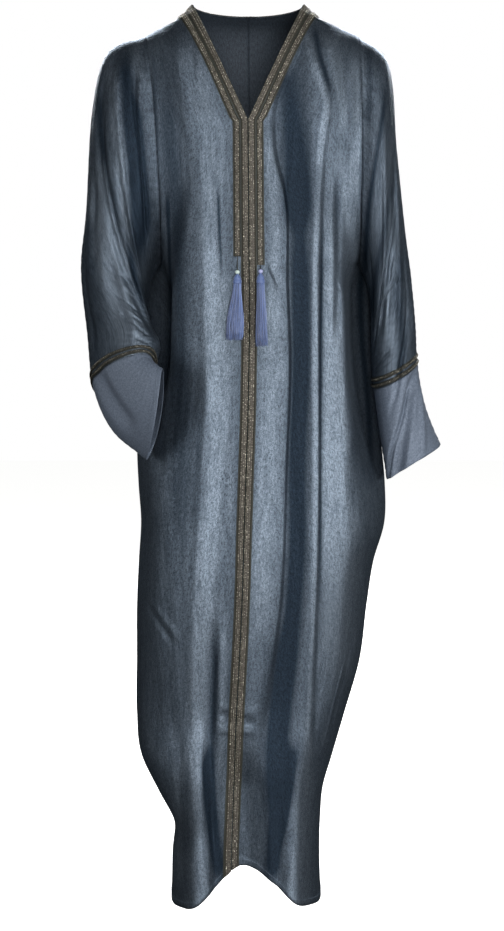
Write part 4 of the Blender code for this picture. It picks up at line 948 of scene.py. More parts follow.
def softened(depth, height, c):
    """The back's depths with the break at the underarms' height worn off: near it, each is drawn to a
    bell-weighted mean of the rows above and below, except at the side edges."""
    reach = np.arange(-3 * BREAK_ROWS, 3 * BREAK_ROWS + 1)
    weights = np.exp(-0.5 * (reach / BREAK_ROWS) ** 2)
    rows = np.clip(np.arange(len(depth))[:, None] + reach, 0, len(depth) - 1)
    mean = np.tensordot(depth[rows], weights / weights.sum(), axes=([1], [0]))
    share = bump((height - UNDERARM_Z) / BREAK_REACH) * (1 - np.abs(c) ** BREAK_EDGE_FADE)
    return depth + (mean - depth) * share


def back_grid():
    """Points of the back, a row for each height from hem to shoulders and neck, with all its folds."""
    shoulder = np.linspace(NECK_SHARE, 1, BACK_SHOULDER_COLUMNS + 1)
    neck = np.linspace(-NECK_SHARE, NECK_SHARE, BACK_NECK_COLUMNS + 1)
    c = np.concatenate([-shoulder[:0:-1], neck, shoulder[1:]])
    z = np.linspace(HEM_Z, UNDERARM_Z, LOWER_ROWS + 1)
    low = back_lower(z, c)
    level = np.linspace(0, SHOULDER_LEVEL, UPPER_ROWS + 1)
    grid = np.concatenate([low[:-1], back_upper(level, c, low[-1])])
    grid[..., 1] = softened(grid[..., 1], grid[..., 2], c)
    low_fade = np.broadcast_to(1 - np.abs(c) ** BACK_EDGE_FADE, (LOWER_ROWS, len(c)))
    high_fade = (1 - np.abs(c) ** UPPER_EDGE_FADE) * (1 - ramp(level, BACK_FADE))[:, None]
    x, height = grid[..., 0], grid[..., 2]
    lift = fold_height(BACK_FOLDS + BACK_DETAIL, x, height)
    lift = lift + crease_height(BACK_CREASES, x, height) + ripple_height(x, height)
    grid[..., 1] += lift * np.concatenate([low_fade, high_fade])
    ridge = back_upper(np.array([1.0]), c, low[-1])[0]
    strip = ridge + np.array([0, RIDGE_STRIP, -STRIP_DROP])
    ends = [(s, 1, column, pull_to_side(c, s, RIDGE_PULL)) for s, column in ((-1, 0), (1, -1))]
    return np.concatenate([grid, shoulder_rows(grid[-1], strip, ridge, ends)])


def sleeve_grid(side, first, last, rows):
    """Points round a sleeve between two ring stations, pushed in and out of the ring by its folds."""
    turns, stations = np.meshgrid(
        np.arange(SLEEVE_TURNS) / SLEEVE_TURNS, np.linspace(first, last, rows + 1)
    )
    points = ring_points(SLEEVE_RINGS[side], turns, stations)
    middle = points.mean(axis=1, keepdims=True)
    lift = np.zeros(turns.shape)
    for fold in SLEEVE_FOLDS[side] + SLEEVE_DETAIL[side]:
        along = (stations - fold.rings[0]) / (fold.rings[-1] - fold.rings[0])
        away = (turns - smooth_curve(fold.rings, fold.turns, stations) + 0.5) % 1.0 - 0.5
        fade = ease(along / SLEEVE_FOLD_FADE) * ease((1 - along) / SLEEVE_FOLD_FADE)
        lift = lift + fold.height * fade * bump(away / fold.half_width)
    scale = np.array([SLEEVE_ROUND, RING_STEP])
    creases = [
        Crease(c.height, c.half_width, np.array(c.start) * scale, np.array(c.end) * scale)
        for c in SLEEVE_CREASES[side]
    ]
    across, down = turns * SLEEVE_ROUND, stations * RING_STEP
    whole_turns = round(SLEEVE_ROUND / RIPPLES[0][1])
    sway = CRINKLE_SWAY * np.sin(2 * np.pi * turns * CRINKLE_WAVES)
    crinkle = CRINKLE_HEIGHT * np.sin(2 * np.pi * (down / CRINKLE_PITCH + sway))
    sway = SLEEVE_RIPPLE_SWAY * np.sin(down / SLEEVE_RIPPLE_LENGTH)
    ripple = SLEEVE_RIPPLE_HEIGHT * np.sin(2 * np.pi * turns * whole_turns + sway)
    lift = lift + crease_height(creases, across, down)
    lift = lift + (crinkle + ripple) * ramp(stations, SLEEVE_RELIEF_START)
    return points + unit(points - middle) * lift[..., None]


def grid_normals(grid, closed, outward):
    """Directions straight out of the surface at each grid point."""
    if closed:
        across = np.roll(grid, -1, axis=1) - np.roll(grid, 1, axis=1)
    else:
        across = np.gradient(grid, axis=1)
    along = np.gradient(grid, axis=0)
    return unit(np.cross(across, along)) * outward


def sample(grid, row, column):
    """Grid values at fractional rows and columns, by straight steps between the four neighbours."""
    row = np.clip(row, 0, grid.shape[0] - 1.000001)
    column = np.clip(column, 0, grid.shape[1] - 1.000001)
    i, j = row.astype(int), column.astype(int)
    a, b = (row - i)[..., None], (column - j)[..., None]
    low = grid[i, j] * (1 - b) + grid[i, j + 1] * b
    high = grid[i + 1, j] * (1 - b) + grid[i + 1, j + 1] * b
    return low * (1 - a) + high * a


def steps_along(line, pitch):
    """Fractional places along a line of points, one every pitch."""
    length = np.concatenate([[0], np.cumsum(np.linalg.norm(np.diff(line, axis=0), axis=-1))])
    return np.interp(np.arange(pitch / 2, length[-1], pitch), length, np.arange(len(line)))


def walk(rows, distance):
    """For each column, the point at this distance along it from the first row."""
    found = rows[0].copy()
    left = np.full(rows.shape[1], distance)
    for start, end in zip(rows, rows[1:]):
        length = np.linalg.norm(end - start, axis=-1)
        share = np.clip(left / length, 0, 1)[:, None]
        found = found + (end - start) * share
        left = np.clip(left - length, 0, None)
    return found


def puff(distance):
    """Cloth swelling a little beside a seam: a soft ridge that is 0 on the seam itself."""
    return SEAM_PUFF * bump((distance - SEAM_PUFF_REACH) / SEAM_PUFF_REACH)


def panel_relief(grid, closed, outward, seam_rows, seam_columns, hem_row=None):
    """The cloth swollen beside its seams, and lifted by its second layer above a turned hem. Distances
    are measured along the rows and the columns."""
    normals = grid_normals(grid, closed, outward)
    down = running_length(grid, 0)
    lift = np.zeros(grid.shape[:2])
    for row in seam_rows:
        lift += puff(np.abs(down - down[row]))
    if seam_columns:
        across = running_length(grid, 1)
        for column in seam_columns:
            lift += puff(np.abs(across - across[:, column][:, None]))
    if hem_row is not None:
        from_hem = np.abs(down - down[hem_row])
        lift += HEM_STEP * (1 - ramp(from_hem, (HEM_TURN - HEM_EDGE, HEM_TURN + HEM_EDGE)))
    return grid + normals * lift[..., None]


def new_mesh(name, verts, faces, materials):
    """A smooth-shaded mesh object from points and faces, at the origin."""
    mesh = bpy.data.meshes.new(name)
    mesh.from_pydata(np.asarray(verts, float).tolist(), [], faces)
    for material in materials:
        mesh.materials.append(material)
    mesh.shade_smooth()
    made = bpy.data.objects.new(name, mesh)
    bpy.context.scene.collection.objects.link(made)
    return made


def running_length(points, axis):
    """Distances along a grid's rows or columns, from 0 at the first point."""
    step = np.linalg.norm(np.diff(points, axis=axis), axis=-1)
    first = np.zeros_like(np.take(points[..., 0], [0], axis=axis))
    return np.concatenate([first, np.cumsum(step, axis=axis)], axis=axis)


def add_surface(name, grid, closed, outward, materials, thick=0.0, tones=None):
    """A surface through rows of points, with a UV map in metres along both ways, and a wall and a tone
    at each point if asked."""
    rows, columns = grid.shape[:2]
    wrap = columns if closed else columns - 1
    i, j = np.meshgrid(np.arange(rows - 1), np.arange(wrap), indexing="ij")
    k = (j + 1) % columns
    base = i * columns
    quads = np.stack([base + j, base + k, base + columns + k, base + columns + j], axis=-1)
    corners = np.array([(i, j), (i, j + 1), (i + 1, j + 1), (i + 1, j)]).transpose(2, 3, 0, 1)
    if outward < 0:
        quads, corners = quads[..., ::-1], corners[..., ::-1, :]
    made = new_mesh(name, grid.reshape(-1, 3), quads.reshape(-1, 4).tolist(), materials)

    span = np.concatenate([grid, grid[:, :1]], axis=1) if closed else grid
    places = np.stack([running_length(span, 1), running_length(span, 0)], axis=-1)
    where = corners.reshape(-1, 2)
    add_cloth_map(made, places[where[:, 0], where[:, 1]])
    if tones is not None:
        add_tones(made, tones.ravel())
    if thick:
        wall = made.modifiers.new("wall", "SOLIDIFY")
        wall.thickness = thick
        wall.offset = -1.0
        wall.use_even_offset = False
        wall.material_offset = len(materials) - 1
    return made


def add_tones(made, values):
    """Stores a number from 0 to 1 at each point, which the material turns into a shade."""
    tone = made.data.attributes.new("tone", "FLOAT", "POINT")
    tone.data.foreach_set("value", np.asarray(values, np.float32))


def add_cloth_map(made, places):
    """Stores the UV map: metres across and along the cloth at each corner of each face."""
    uv = made.data.uv_layers.new(name="cloth")
    uv.data.foreach_set("uv", places.astype(np.float32).ravel())


def add_tubes(name, paths, radii, outs, sides, material, tones):
    """Tubes along paths: each ring is the path's point plus its radius times a circle between the
    direction out of the cloth and the direction square to it and to the path. Both ends are closed.
    Each tube keeps one tone, a number from 0 to 1, and a UV map in metres round and along."""
    paths = np.asarray(paths, float)
    count, length = paths.shape[:2]
    radii = np.broadcast_to(radii, (count, length))
    tangent = unit(np.gradient(paths, axis=1))
    side = unit(np.cross(tangent, np.broadcast_to(outs, paths.shape)))
    out = np.cross(side, tangent)
    angle = 2 * np.pi * np.arange(sides) / sides
    wheel = side[:, :, None] * np.cos(angle)[:, None] + out[:, :, None] * np.sin(angle)[:, None]
    points = paths[:, :, None] + wheel * radii[:, :, None, None]
    n, i, k = np.meshgrid(np.arange(count), np.arange(length - 1), np.arange(sides), indexing="ij")
    base = (n * length + i) * sides
    near, far = base + k, base + (k + 1) % sides
    quads = np.stack([near, near + sides, far + sides, far], axis=-1).reshape(-1, 4).tolist()
    first = np.arange(count)[:, None] * length * sides + np.arange(sides)
    last = first + (length - 1) * sides
    faces = quads + first.tolist() + last[:, ::-1].tolist()
    made = new_mesh(name, points.reshape(-1, 3), faces, [material])

    girth = 2 * np.pi * np.mean(radii) / sides
    down = running_length(paths, 1)
    round_at = np.stack([k, k, k + 1, k + 1], axis=-1) * girth
    down_at = np.stack([down[n, i], down[n, i + 1], down[n, i + 1], down[n, i]], axis=-1)
    places = np.stack([round_at, down_at], axis=-1).reshape(-1, 2)
    caps = np.zeros((2 * count * sides, 2))
    add_cloth_map(made, np.concatenate([places, caps]))
    add_tones(made, np.repeat(tones, length * sides))
    return made


def add_copies(name, shape, faces, centres, frames, tones, material):
    """Many copies of a small shape: each point is the copy's centre plus the shape's x, y and z along
    the three directions of the copy's frame."""
    points = centres[:, None] + np.einsum("vk,nkd->nvd", shape, frames)
    shift = np.arange(len(centres))[:, None] * len(shape)
    polygons = [face for form in faces for face in (np.array(form)[None] + shift).tolist()]
    made = new_mesh(name, points.reshape(-1, 3), polygons, [material])
    add_tones(made, np.repeat(tones, len(shape)))
    made.data.shade_flat()
    return made


def stone_shape(radius, height, sides=6):
    """A cut stone: a ring at its girdle, a smaller ring round its flat top, and closed faces."""
    angle = 2 * np.pi * np.arange(sides) / sides
    ring = np.stack([np.cos(angle), np.sin(angle), np.zeros(sides)], axis=-1) * radius
    shape = np.concatenate([ring, ring * STONE_TOP + np.array([0, 0, height])])
    faces = [(k, (k + 1) % sides, sides + (k + 1) % sides, sides + k) for k in range(sides)]
    return shape, faces + [tuple(range(sides))[::-1], tuple(range(sides, 2 * sides))]


def stitch_shape(length, width, height):
    """A stitch: a four-sided thread that rises out of the cloth, runs level and dips in again."""
    along = np.array([-0.5, -0.3, 0.3, 0.5]) * length
    rise = np.array([-0.4, 1.0, 1.0, -0.4]) * height
    ring = ((0.5, 0.0), (0.0, 0.5), (-0.5, 0.0), (0.0, -0.3))
    shape = np.array([(x * width, y, z + h * height) for y, z in zip(along, rise) for x, h in ring])
    faces = [
        (4 * i + k, 4 * i + 4 + k, 4 * i + 4 + (k + 1) % 4, 4 * i + (k + 1) % 4)
        for i in range(3)
        for k in range(4)
    ]
    return shape, faces + [(0, 1, 2, 3), (15, 14, 13, 12)]


def along_line(values, place):
    """Values of a line of points at fractional places along it."""
    return sample(np.stack([values, values], axis=1), place, np.zeros_like(place))


def frames_along(line, normals, place):
    """Points at fractional places along a line on the cloth, and the directions across it, along it
    and out of the cloth there."""
    along = unit(along_line(np.gradient(line, axis=0), place))
    out = along_line(normals, place)
    out = unit(out - along * np.sum(out * along, axis=-1, keepdims=True))
    return along_line(line, place), np.stack([np.cross(along, out), along, out], axis=1)


def hex_colour(code):
    """An sRGB hex value as linear red, green and blue, by the sRGB curve."""
    values = [int(code[i : i + 2], 16) / 255 for i in (1, 3, 5)]
    return tuple(v / 12.92 if v <= 0.04045 else ((v + 0.055) / 1.055) ** 2.4 for v in values)


def add_node(tree, kind, inputs=None, **settings):
    """Adds a node with its settings. Each input is a value, or the socket that it is linked to."""
    made = tree.nodes.new(kind)
    for name, value in settings.items():
        setattr(made, name, value)
    for name, value in (inputs or {}).items():
        if isinstance(value, bpy.types.NodeSocket):
            tree.links.new(value, made.inputs[name])
        else:
            made.inputs[name].default_value = value
    return made


def new_material(name, finish):
    """A material with its shader, whose plain sockets are set by name."""
    made = bpy.data.materials.new(name)
    made.use_nodes = True
    shader = made.node_tree.nodes["Principled BSDF"]
    for socket, value in finish.items():
        shader.inputs[socket].default_value = value
    return made, made.node_tree, shader


def pattern_space(tree, across, along, turn=0.0):
    """The cloth's UV metres scaled so that 1 is the given number of millimetres across and along."""
    uv = add_node(tree, "ShaderNodeUVMap", uv_map="cloth").outputs["UV"]
    inputs = {"Vector": uv, "Rotation": (0, 0, turn), "Scale": (1000 / across, 1000 / along, 1.0)}
    return add_node(tree, "ShaderNodeMapping", inputs).outputs["Vector"]


def blend_colours(tree, share, dark, light):
    """A colour that runs from dark to light with the share."""
    mix = add_node(tree, "ShaderNodeMix", {"Factor": share}, data_type="RGBA")
    mix.inputs["A"].default_value = (*dark, 1)
    mix.inputs["B"].default_value = (*light, 1)
    return mix.outputs["Result"]


def map_range(tree, value, span, low, high):
    """The value with the span's start mapped to low and its end to high."""
    inputs = {"Value": value, "From Min": span[0], "From Max": span[1], "To Min": low, "To Max": high}
    return add_node(tree, "ShaderNodeMapRange", inputs).outputs["Result"]


def combined(tree, operation, first, second):
    """Two numbers added or multiplied."""
    return add_node(tree, "ShaderNodeMath", {0: first, 1: second}, operation=operation).outputs["Value"]


def cloth_noise(tree, size, noise):
    """Noise stretched over the cloth's UV map, by its size in millimetres across and along."""
    inputs = {"Vector": pattern_space(tree, *size), "Scale": 1.0, **noise}
    return add_node(tree, "ShaderNodeTexNoise", inputs).outputs["Fac"]


def tone_at(tree):
    """The number from 0 to 1 that is stored at each point."""
    return add_node(tree, "ShaderNodeAttribute", attribute_name="tone").outputs["Fac"]


def surface_finish(tree, shader, colour, height, depth, invert=False):
    """Links the colour, and raises the surface to the depth where the height is 1, or 0 if inverted."""
    tree.links.new(colour, shader.inputs["Base Color"])
    inputs = {"Height": height, "Strength": 1.0, "Distance": depth}
    bumps = add_node(tree, "ShaderNodeBump", inputs, invert=invert)
    tree.links.new(bumps.outputs["Normal"], shader.inputs["Normal"])


def cloth_material(name, dark, light, weave, finish, painted_light_and_gloss=None):
    """Woven cloth: streaks and a finer grain, both noise stretched over the UV map, together run from
    the dark to the light yarn, smooth the sheen where it is light, and raise the surface. With painted light
    and gloss, each point's tone, times the noise of random patches, also paints the cloth paler and glossier
    where a highlight is painted, or darker and duller where shade is painted."""
    made, tree, shader = new_material(name, finish)
    streaks = cloth_noise(tree, weave.streak, YARN_NOISE)
    grains = cloth_noise(tree, weave.grain, YARN_NOISE)
    both = combined(tree, "ADD", streaks, grains)
    share = map_range(tree, both, YARN_SPAN, 0.0, 1.0)
    colour = blend_colours(tree, share, dark, light)
    rough = finish["Roughness"]
    gloss = map_range(tree, share, (0.0, 1.0), rough + YARN_GLOSS, rough - YARN_GLOSS)
    if painted_light_and_gloss:
        patches = cloth_noise(tree, painted_light_and_gloss.patch, PATCH_NOISE)
        patch_factor = map_range(tree, patches, PATCH_SPAN, 1 - painted_light_and_gloss.patchy, 1 + painted_light_and_gloss.patchy)
        tone = combined(tree, "MULTIPLY", tone_at(tree), patch_factor)
        # Painted highlight and painted shade: the tone multiplies the colour paler or darker, and moves the
        # roughness with it
        shade = blend_colours(tree, tone, painted_light_and_gloss.dull, painted_light_and_gloss.bright)
        shaded = add_node(tree, "ShaderNodeVectorMath", {0: colour, 1: shade}, operation="MULTIPLY")
        colour = shaded.outputs["Vector"]
        change = map_range(tree, tone, (0.0, 1.0), painted_light_and_gloss.rough, -painted_light_and_gloss.rough)
        gloss = combined(tree, "ADD", gloss, change)
    tree.links.new(gloss, shader.inputs["Roughness"])
    surface_finish(tree, shader, colour, both, weave.depth)
    return made


def satin_finish(look):
    """The gloss of both satins: strong and bluish, from the floats of bright filament yarn."""
    return {
        "Roughness": look.satin_roughness,
        "Metallic": look.satin_metal,
        "Specular IOR Level": SATIN_SPECULAR,
        "Specular Tint": (*hex_colour(SATIN_SHEEN), 1),
    }


def satin_material(look):
    """Polyester satin shot with metallic yarn: the long floats lie down the cloth, so the light breaks
    into fine streaks and sparks that run lengthwise."""
    colours = look.satin_dark, look.satin_light
    # Its colour also carries painted highlight and painted shade, by each point's tone
    return cloth_material("satin_lengthwise", *colours, SATIN_WEAVE, satin_finish(look), PAINTED_LIGHT_AND_GLOSS)


def sleeve_material(look):
    """The same satin on the sleeves, where wear crinkles it: the light breaks into short bars that
    run round the arm."""
    colours = look.satin_dark, look.satin_light
    # Its colour also carries painted highlight and painted shade, by each point's tone
    return cloth_material("satin_crinkled", *colours, CRINKLED_WEAVE, satin_finish(look), SLEEVE_PAINTED_LIGHT_AND_GLOSS)


def reverse_material(look):
    """The satin's wrong side, where the dull weft shows: matt, with a faint grain."""
    finish = {"Roughness": 0.75, "Metallic": 0.1}
    return cloth_material("satin_reverse", look.reverse_dark, look.reverse_light, REVERSE_WEAVE, finish)


def cuff_material(look):
    """Plain polyester crepe: a fine even grain that scatters the light and shows no streaks."""
    finish = {"Roughness": 0.65, "Metallic": 0.2}
    return cloth_material("matt_crepe", look.cuff_dark, look.cuff_light, CREPE_WEAVE, finish)


def celled_material(name, dark, light, cells):
    """Thread worked in small cells, dark between them and raised in their middles."""
    made, tree, shader = new_material(name, cells.finish)
    space = pattern_space(tree, cells.size, cells.size, cells.turn)
    inputs = {"Vector": space, "Scale": 1.0, "Randomness": cells.uneven}
    away = add_node(tree, "ShaderNodeTexVoronoi", inputs).outputs["Distance"]
    surface_finish(tree, shader, blend_colours(tree, away, light, dark), away, cells.depth, invert=True)
    return made


def ground_material(trim):
    """The braid's ground: dull black-olive thread woven as a fine grid of 1 mm."""
    return celled_material("woven_braid_ground", trim.ground_dark, trim.ground_light, GROUND_CELLS)


def core_material(trim):
    """The braid's core: dull metallic thread plaited in small slanting cells."""
    return celled_material("plaited_metallic_thread", trim.core_dark, trim.core_light, PLAIT_CELLS)


def cuff_core_material(trim):
    """The cuff braid's core and cords: the same plait in black-olive thread."""
    return celled_material("plaited_dark_thread", trim.ground_dark, trim.cuff_core_light, PLAIT_CELLS)


def cord_material(trim):
    """The piping along the braid: two-ply twisted thread, a slanting stripe that repeats every 2 mm."""
    made, tree, shader = new_material("twisted_piping_cord", {"Roughness": 0.55, "Metallic": 0.35})
    inputs = {"Vector": pattern_space(tree, 1.0, 1.0, math.pi / 4), "Scale": 0.5, "Distortion": 0.3}
    plies = add_node(tree, "ShaderNodeTexWave", inputs, bands_direction="X").outputs["Fac"]
    colour = blend_colours(tree, plies, trim.cord_dark, trim.cord_light)
    surface_finish(tree, shader, colour, plies, CORD_DEPTH)
    return made


def toned_material(name, dark, light, finish):
    """A material that runs from dark to light by each piece's own tone."""
    made, tree, shader = new_material(name, finish)
    tree.links.new(blend_colours(tree, tone_at(tree), dark, light), shader.inputs["Base Color"])
    return made


def stone_material(trim):
    """Small hot-fixed metal studs with cut faces: each catches the light on one facet at a time."""
    finish = {"Roughness": 0.3, "Metallic": 0.7}
    return toned_material("cut_metal_stud", trim.stone_dark, trim.stone_light, finish)


def thread_material(trim):
    """Viscose tassel thread: silky, and a little paler or darker from strand to strand."""
    finish = {"Roughness": 0.42, "Sheen Weight": 0.3, "Sheen Roughness": 0.4}
    return toned_material("viscose_thread", trim.thread_dark, trim.thread_light, finish)


def stitch_material(look):
    """Sewing thread a shade lighter than the satin."""
    return toned_material("sewing_thread", look.satin_dark, look.satin_light, {"Roughness": 0.6})


def bead_material(name, colour):
    """A glazed ceramic bead: smooth, with a small sharp highlight."""
    return new_material(name, {"Base Color": (*colour, 1), "Roughness": 0.25, "Coat Weight": 0.4})[0]


# Materials that more than one piece has, by the function that makes each
MADE = {}


def shared(maker, *inputs):
    """The material that a maker makes, made once and then used again."""
    if maker.__name__ not in MADE:
        MADE[maker.__name__] = maker(*inputs)
    return MADE[maker.__name__]


# What the braid of the fronts and the neck and the finer cuff braid each have: the materials of the core
# and of its cords, the lines of studs and their pitch, and how strongly the studs' tones lean to dark
BraidMake = namedtuple("BraidMake", "core cords stone_lines stone_pitch gloom")
FRONT_BRAID = BraidMake(core_material, cord_material, (0.34, 0.5, 0.66), 0.0023, 2.2)
CUFF_BRAID = BraidMake(cuff_core_material, cuff_core_material, (0.4, 0.6), 0.0026, 7.0)


def place_piece(piece, slot, *nodes):
    """Rides the piece on the garment and hides the nodes that it stands for. The slot is not used."""
    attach(piece, "root")
    if nodes:
        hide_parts(*nodes)


def lay_cloth(node, grid, closed, outward, materials, slot="satin", tones=None):
    """One piece of cloth in the place of its solid."""
    thick = bpy.context.scene.abaya_cloth.thickness
    piece = add_surface(f"cloth_{node}", grid, closed, outward, materials, thick, tones)
    place_piece(piece, slot, node)


def finished_front(side):
    """A front panel with its hem and seams."""
    return panel_relief(front_grid(side), False, side, (-1,), (-1,), 0)


def finished_back():
    """Both back panels as one grid, with their hem, their side seams and the centre seam."""
    grid = back_grid()
    return panel_relief(grid, False, -1, (-1,), (0, grid.shape[1] // 2, -1), 0)


def add_hem_stitches(name, grid, closed, outward, hem_row, look):
    """A row of stitches near the edge of a turned hem, on the cloth's face."""
    normals = grid_normals(grid, closed, outward)
    if hem_row < 0:
        grid, normals = grid[::-1], normals[::-1]
    down = running_length(grid, 0)
    place = np.array([np.interp(HEM_TURN - STITCH_INSET, d, np.arange(len(d))) for d in down.T])
    columns = np.arange(grid.shape[1], dtype=float)
    line, lean = sample(grid, place, columns), sample(normals, place, columns)
    if closed:
        line, lean = np.concatenate([line, line[:1]]), np.concatenate([lean, lean[:1]])
    centres, frames = frames_along(line, lean, steps_along(line, STITCH_PITCH))
    shape, faces = stitch_shape(STITCH_LENGTH, STITCH_WIDTH, STITCH_WIDTH / 2)
    tones = np.full(len(centres), STITCH_TONE)
    row = add_copies(name, shape, faces, centres, frames, tones, shared(stitch_material, look))
    place_piece(row, "satin")


def braid_line(grid, normals, share, lift):
    """A line of points along a braid at a share of its width, raised off it."""
    rows = np.arange(grid.shape[0], dtype=float)
    column = np.full_like(rows, share * (grid.shape[1] - 1))
    return sample(grid, rows, column) + sample(normals, rows, column) * lift, sample(normals, rows, column)


def core_lift(share):
    """Height of a braid's core over the cloth at a share of the whole width, highest in its middle."""
    return CORE_LIFT + CORE_CROWN * (1 - np.clip(np.abs(2 * share - 1) / CORE_WIDTH, 0, 1) ** 4)


def add_studs(name, base, normals, trim, seed, make):
    """Lines of small cut studs on a braid row, every other line half a step on. Each stud is tilted a
    little, and its tone is drawn from a beta distribution that leans to dark."""
    rng = np.random.default_rng(seed)
    centres, frames = [], []
    for number, share in enumerate(make.stone_lines):
        line, lean = braid_line(base, normals, share, core_lift(share))
        steps = steps_along(line, make.stone_pitch)
        steps = np.clip(steps + 0.5 * (number % 2) * np.gradient(steps), 0, len(line) - LINE_END)
        points, frame_at = frames_along(line, lean, steps)
        centres.append(points)
        frames.append(frame_at)
    centres, frames = np.concatenate(centres), np.concatenate(frames)
    out = unit(frames[:, 2] + rng.normal(0, STONE_TILT, (len(centres), 3)))
    across = unit(np.cross(frames[:, 1], out))
    frames = np.stack([across, np.cross(out, across), out], axis=1)
    shape, faces = stone_shape(STONE_RADIUS, STONE_HEIGHT)
    tones = rng.beta(STONE_TONE_START, make.gloom, len(centres))
    studs = add_copies(f"{name}_studs", shape, faces, centres, frames, tones, shared(stone_material, trim))
    place_piece(studs, "braid")


def add_braid(name, base, outward, node, trim, seed, make):
    """One braid row on points of the cloth that run along it: a dark ground tape, a crowned core half
    as wide, a cord at both edges of the core, and lines of small cut studs."""
    normals = grid_normals(base, False, outward)
    ground = base + normals * GROUND_LIFT
    material = shared(ground_material, trim)
    tape = add_surface(f"{name}_ground", ground, False, outward, [material], TAPE_THICK)
    place_piece(tape, "braid", node)
    edges = ((1 - CORE_WIDTH) / 2, (1 + CORE_WIDTH) / 2)
    shares = np.linspace(*edges, CORE_LINES)
    along, across = np.arange(len(base), dtype=float), shares * (base.shape[1] - 1)
    rows, columns = np.meshgrid(along, across, indexing="ij")
    core = sample(base, rows, columns) + sample(normals, rows, columns) * core_lift(shares)[None, :, None]
    plait = add_surface(f"{name}_core", core, False, outward, [shared(make.core, trim)], TAPE_THICK)
    place_piece(plait, "braid")
    paths, leans = zip(*(braid_line(base, normals, share, CORE_LIFT) for share in edges))
    material = shared(make.cords, trim)
    cords = add_tubes(f"{name}_cords", paths, CORD_RADIUS, leans, CORD_SIDES, material, CORD_TONES)
    place_piece(cords, "braid")
    add_studs(name, base, normals, trim, seed, make)


def front_braid_base(side, row):
    """The cloth under a front braid row, with points across it; the outer row stops at its tassel."""
    grid = finished_front(side)
    along, across = np.arange(len(grid), dtype=float), np.linspace(*BRAID_COLUMNS[row], BRAID_LINES)
    base = sample(grid, *np.meshgrid(along, across, indexing="ij"))
    if row == "inner":
        return base
    middle = base[:, 0, 2]
    start = int(np.argmax(middle > TASSEL_ROW_END[side]))
    share = (TASSEL_ROW_END[side] - middle[start - 1]) / (middle[start] - middle[start - 1])
    end = base[start - 1] + (base[start] - base[start - 1]) * share
    return np.concatenate([end[None], base[start:]])


def neck_braid_base(row):
    """The cloth under a braid row round the back of the neck, found straight below an oval line."""
    grid = finished_back()
    rows, columns = grid.shape[:2]
    i, j = np.meshgrid(np.arange(rows - 1), np.arange(columns - 1), indexing="ij")
    a = (i * columns + j).ravel()
    faces = np.stack([a, a + 1, a + columns + 1, a + columns], axis=-1)
    tree = BVHTree.FromPolygons(grid.reshape(-1, 3).tolist(), faces.tolist())
    reach = math.pi / 2 - BACK_BRAID_END
    angle = np.linspace(-reach, reach, NECK_BRAID_POINTS)[:, None]
    near, far = NECK_BRAID_EDGES[row]
    offset = np.linspace(near, far, BRAID_LINES)[None, :]
    x = (NECK_HALF + offset) * np.sin(angle)
    y = (BACK_NECK_Y + offset) * np.cos(angle) ** NECK_CURVE
    down = Vector((0, 0, -1))
    hits = [tree.ray_cast(Vector((px, py, ABOVE_NECK)), down)[0] for px, py in zip(x.ravel(), y.ravel())]
    return np.array([tuple(hit) for hit in hits]).reshape(*x.shape, 3)


def cuff_braid_base(side, number):
    """The cloth under a braid row above the cuff seam, walked up the sleeve from its lower edge."""
    grid = sleeve_cloth(side)
    foot = CUFF_BRAID_MARGIN + number * CUFF_BRAID_PITCH
    shares = np.linspace(1, 0, CUFF_BRAID_LINES)
    rows = np.array([walk(grid[::-1], foot + CUFF_BRAID_WIDTH * share) for share in shares])
    loop = rows.transpose(1, 0, 2)
    return np.concatenate([loop, loop[:1]])


def sleeve_cloth(side):
    """A sleeve from its armhole to its cuff, swollen beside both seams."""
    return panel_relief(sleeve_grid(side, 0, CUFF_RING, SLEEVE_GRID_ROWS), True, side, (0, -1), ())


def cuff_cloth(side):
    """A cuff from its seam to its turned hem."""
    return panel_relief(sleeve_grid(side, CUFF_RING, LAST_RING, CUFF_GRID_ROWS), True, side, (0,), (), -1)


def strand_paths(spec, x, y, rng):
    """Strands from the head to their free ends: they start in a sunflower spiral inside the head,
    spread out as they fall, and each one sways by a small wave of its own."""
    number = np.arange(STRANDS)
    radius = HEAD_RADIUS * SPIRAL_REACH * np.sqrt((number + 0.5) / STRANDS)
    t = np.linspace(0, 1, STRAND_STEPS)[None, :]
    grow = ease(t / STRAND_SPREAD_END)
    length = (spec.head_z - ROOT_DEPTH - spec.end_z) * (1 - STRAND_UNEVEN * rng.random((STRANDS, 1)))
    waves = STRAND_WAVES + rng.random((STRANDS, 1))
    start = rng.random((STRANDS, 1))
    wave = STRAND_WAVE * t * np.sin(2 * np.pi * (t * waves + start))
    place_x = (radius * np.cos(number * SPIRAL_TURN))[:, None]
    place_y = (radius * np.sin(number * SPIRAL_TURN))[:, None]
    path_x = x + place_x * (1 + (spec.spread_x - 1) * grow) + spec.lean * t + wave
    path_y = y - STRAND_SWING * grow + place_y * (1 + (spec.spread_y - 1) * grow) + wave[::-1]
    path_z = spec.head_z - ROOT_DEPTH - length * t
    return np.stack([path_x, path_y, path_z], axis=-1)


def upright(x, y, z):
    """A path through the heights z, at one x and at one y or one for each height."""
    return np.stack([np.full_like(z, x), np.broadcast_to(y, z.shape), z], axis=-1)


def bead_shape(spec):
    """Heights and radii of a bead, from its top to its foot: a circle, squashed a little."""
    angle = np.linspace(BEAD_POLE, math.pi - BEAD_POLE, BEAD_STEPS)
    return spec.head_z - BEAD_RADIUS * (1 - np.cos(angle)) * BEAD_SQUASH, BEAD_RADIUS * np.sin(angle)


